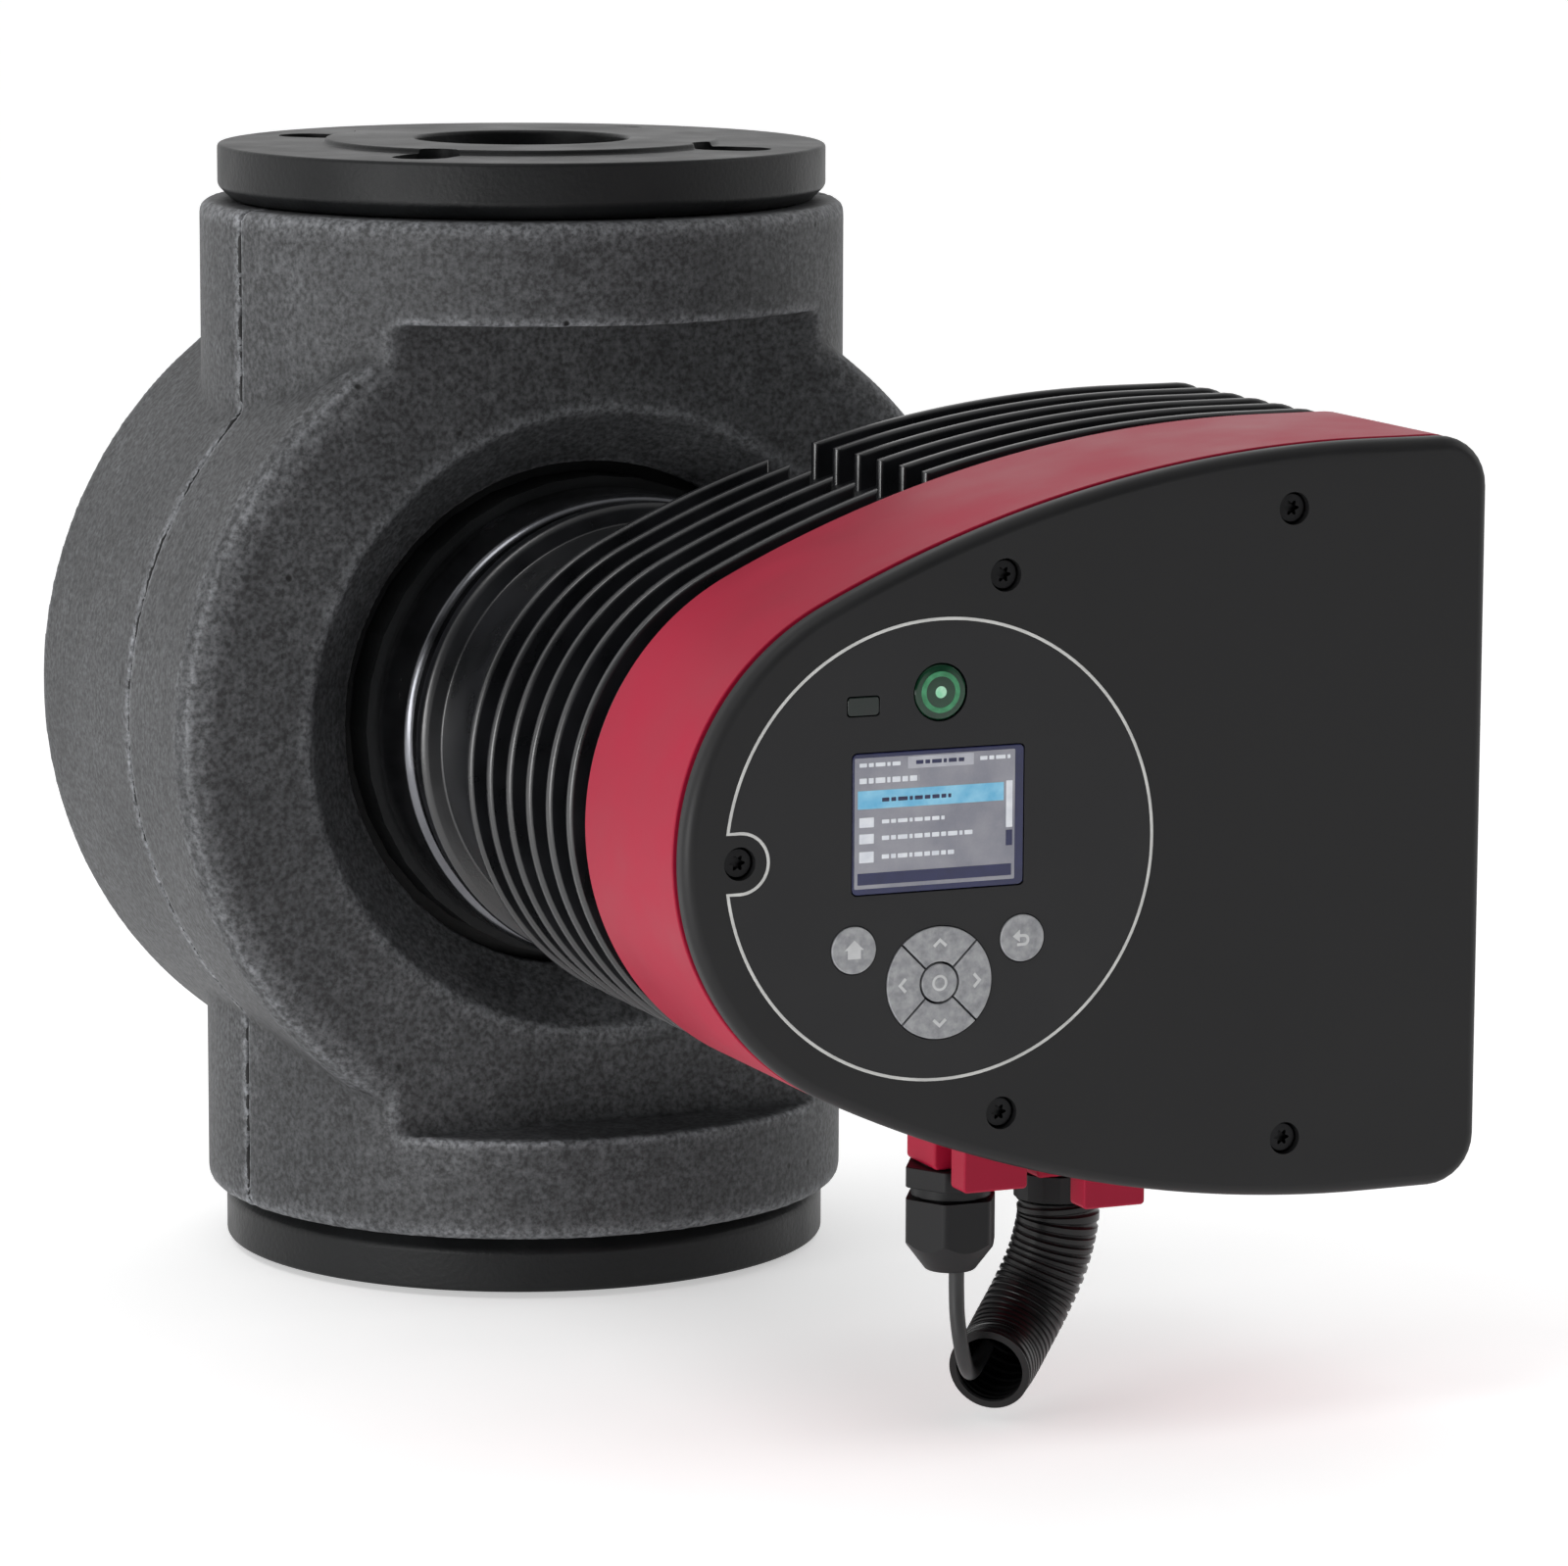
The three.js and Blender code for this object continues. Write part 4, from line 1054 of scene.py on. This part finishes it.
def keysVisual():
    ok = centreMm("key_ok")
    wide, narrow = keySet["outerSpan"], keySet["innerSpan"]
    for node, turn in quarters.items():
        keyCap(node, arc(ok.x, ok.z, keySet["pad"], turn - wide, turn + wide, 26)
               + arc(ok.x, ok.z, keySet["ok"] + keySet["slit"], turn + narrow, turn - narrow, 12))
        angle = math.radians(turn)
        ahead = Vector((math.cos(angle), math.sin(angle)))
        across = Vector((-math.sin(angle), math.cos(angle)))
        tip = Vector((ok.x, ok.z)) + ahead * keySet["arrowAt"]
        arrow = [tuple(tip + ahead * a + across * b) for a, b in marks["arrow"]]
        markOn(node + "_arrow", [arrow[::-1]], node)
    for node in ("key_ok", "key_home", "key_back"):
        low, high = boxMm(node)
        middle = (low + high) / 2
        keyCap(node, circle(middle.x, middle.z, (high.x - low.x) / 2, 64))
    outer, inner = keySet["ring"]
    markOn("okDot", [circle(ok.x, ok.z, outer, 32), circle(ok.x, ok.z, inner, 32)[::-1]], "key_ok")
    for name in ("home", "back"):
        middle = centreMm("key_" + name)
        markOn(name + "Mark", [[(middle.x + a, middle.z + b) for a, b in marks[name]]], "key_" + name)


screenVisual()
lampVisual()
keysVisual()
print("screen and keys ready")

# cable entries

glandSet = {
    "flats": 23.6, "nutCorner": 1.6, "nutSoft": 0.7, "collarCorner": 1.2, "collarSoft": 0.5,
    "neckSoft": 0.3,
    "leadHole": 2.6, "mouth": 6.8, "coneTop": (13.6, 9), "nutR": 13.9, "nutBore": 8.9, "nutFloor": 4,
    "collarLow": -99.6, "collarTop": -93.7, "threadR": 8.5, "threadTop": -101.6,
    "shoulder": [(11, -102.3), (11, -99), (8, -99)], "stemR": 8,
}


def hexagon(flats):
    radius = flats / 2 / math.cos(math.pi / 6)
    return [(radius * math.cos(math.tau * i / 6), radius * math.sin(math.tau * i / 6)) for i in range(6)]


# a plate that lies across Z, over a spot on the ground plane
def uprightPlate(name, outline, zLow, zHigh, soft, x, y):
    piece = plate(name, [outline], zLow, zHigh, soft)
    piece.data.transform(Matrix.Rotation(math.pi / 2, 4, "X"))
    piece.data.transform(Matrix.Translation((x * mm, y * mm, 0)))
    return piece


def glandVisual():
    low, high = boxMm("gland_nut")
    x, y = centreMm("gland_nut").xy
    hole, bore, floor = glandSet["leadHole"], glandSet["nutBore"], low.z + glandSet["nutFloor"]
    coneR, coneTall = glandSet["coneTop"]
    corners = [(hole, low.z + 0.3), (glandSet["mouth"], low.z), (coneR, low.z + coneTall),
               (glandSet["nutR"], high.z), (bore, high.z), (bore, floor), (hole, floor)]
    nut = turned("nutSkin", rounded(corners, glandSet["nutSoft"]), 96, "Z", (x, y, 0))
    flats = rounded(hexagon(glandSet["flats"]), glandSet["nutCorner"])
    nut = carve(nut, [uprightPlate("nutFlats", flats, low.z - 2, high.z + 2, 0, x, y)], "INTERSECT")
    place(nut, "mouldedNylon", "plastic_black", replaced=["gland_nut"])
    low, high = boxMm("gland_body")
    flats = rounded(hexagon(glandSet["flats"]), glandSet["collarCorner"])
    collar = uprightPlate("collar", flats, glandSet["collarLow"], glandSet["collarTop"],
                          glandSet["collarSoft"], x, y)
    thread, stem = glandSet["threadR"], glandSet["stemR"]
    corners = [(hole, low.z), (thread, low.z), (thread, glandSet["threadTop"]), *glandSet["shoulder"],
               (stem, high.z), (hole, high.z)]
    neck = turned("neck", rounded(corners, glandSet["neckSoft"]), 64, "Z", (x, y, 0))
    place(joined("glandCollar", [collar, neck]), "mouldedNylon", "plastic_black", replaced=["gland_body"])


sleeveSet = {"outer": 11.6, "inner": 9.6, "pitch": 2.6, "groove": 0.6, "sharpness": 0.7, "innerShare": 0.6,
             "stepsPerRib": 8, "sides": 72}
# middle of the sleeve from its adapter to its open end
sleeveRoute = [(62, -256, -111.6), (62, -256, -118), (59.5, -255.2, -129), (54.5, -255.6, -139),
               (47.5, -258.8, -147.5), (40.5, -264.6, -153), (33.9, -272, -155)]


def sleeveVisual():
    steps = sleeveSet["stepsPerRib"]
    centres, _ = route(sleeveRoute, sleeveSet["pitch"] / steps)
    radii = []
    for i in range(len(centres)):
        phase = (i % steps) / steps
        dip = sleeveSet["groove"] * max(0, math.sin(math.tau * phase)) ** sleeveSet["sharpness"]
        radii.append((sleeveSet["outer"] - dip, sleeveSet["inner"] - dip * sleeveSet["innerShare"]))
    sleeve = sweep("ribbedSleeve", centres, radii, sleeveSet["sides"])
    place(sleeve, "blownPolyethylene", "plastic_black", replaced=["conduit"])


leadSet = {"radius": 2.15, "sides": 24, "spacing": 1.2}
# middle of the lead from the gland nut to just inside the sleeve's mouth, as its solid runs
leadRoute = [(20.9, -278, -123.9), (20.9, -278.1, -130), (21, -278.6, -137), (21.8, -279, -144),
             (23.6, -277.8, -150), (26.6, -274.2, -154.2), (30.4, -268.8, -155.6), (34.4, -263.8, -154.4),
             (38.6, -260, -151.4)]


def leadVisual():
    centres, length = route(leadRoute, leadSet["spacing"])
    radii = [(leadSet["radius"], 0)] * len(centres)
    lead = sweep("thinLead", centres, radii, leadSet["sides"])
    place(lead, "extrudedPvc", "rubber_black", replaced=["sensor_lead"])


glandVisual()
sleeveVisual()
leadVisual()
print("cable entries ready")

# floor


floorSet = {"gap": 0.5, "reach": 16000, "grain": 30, "dark": "#f2f2f2", "pale": "#f8f8f8",
            "glow": "#ffffff"}


def makeFloor():
    low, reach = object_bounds()[0][2] - floorSet["gap"] * mm, floorSet["reach"] * mm
    mesh = bpy.data.meshes.new("floor")
    corners = [(-reach, -reach), (reach, -reach), (reach, reach), (-reach, reach)]
    mesh.from_pydata([(x, y, low) for x, y in corners], [], [(0, 1, 2, 3)])
    floor = objectOf("floor", mesh)
    # matt paper sweep, rolled: an even pale ground
    material, tree, shader, where = newMaterial("mattPaper", 0.9)
    grain = add(tree, "ShaderNodeTexNoise", {"Vector": where, "Scale": perMetre(floorSet["grain"]),
                                             "Detail": 3.0})
    tone = add(tree, "ShaderNodeValToRGB", {"Fac": grain.outputs["Fac"]},
               [(0.0, linear(floorSet["dark"])), (1.0, linear(floorSet["pale"]))])
    tree.links.new(tone.outputs["Color"], shader.inputs["Base Color"])
    shader.inputs["Emission Color"].default_value = linear(floorSet["glow"])
    shader.inputs["Emission Strength"].default_value = roomSet["floorGlow"]
    mesh.materials.append(material)


makeCamera()
makeLights()
makeRoom()
makeFloor()
print("stage ready")
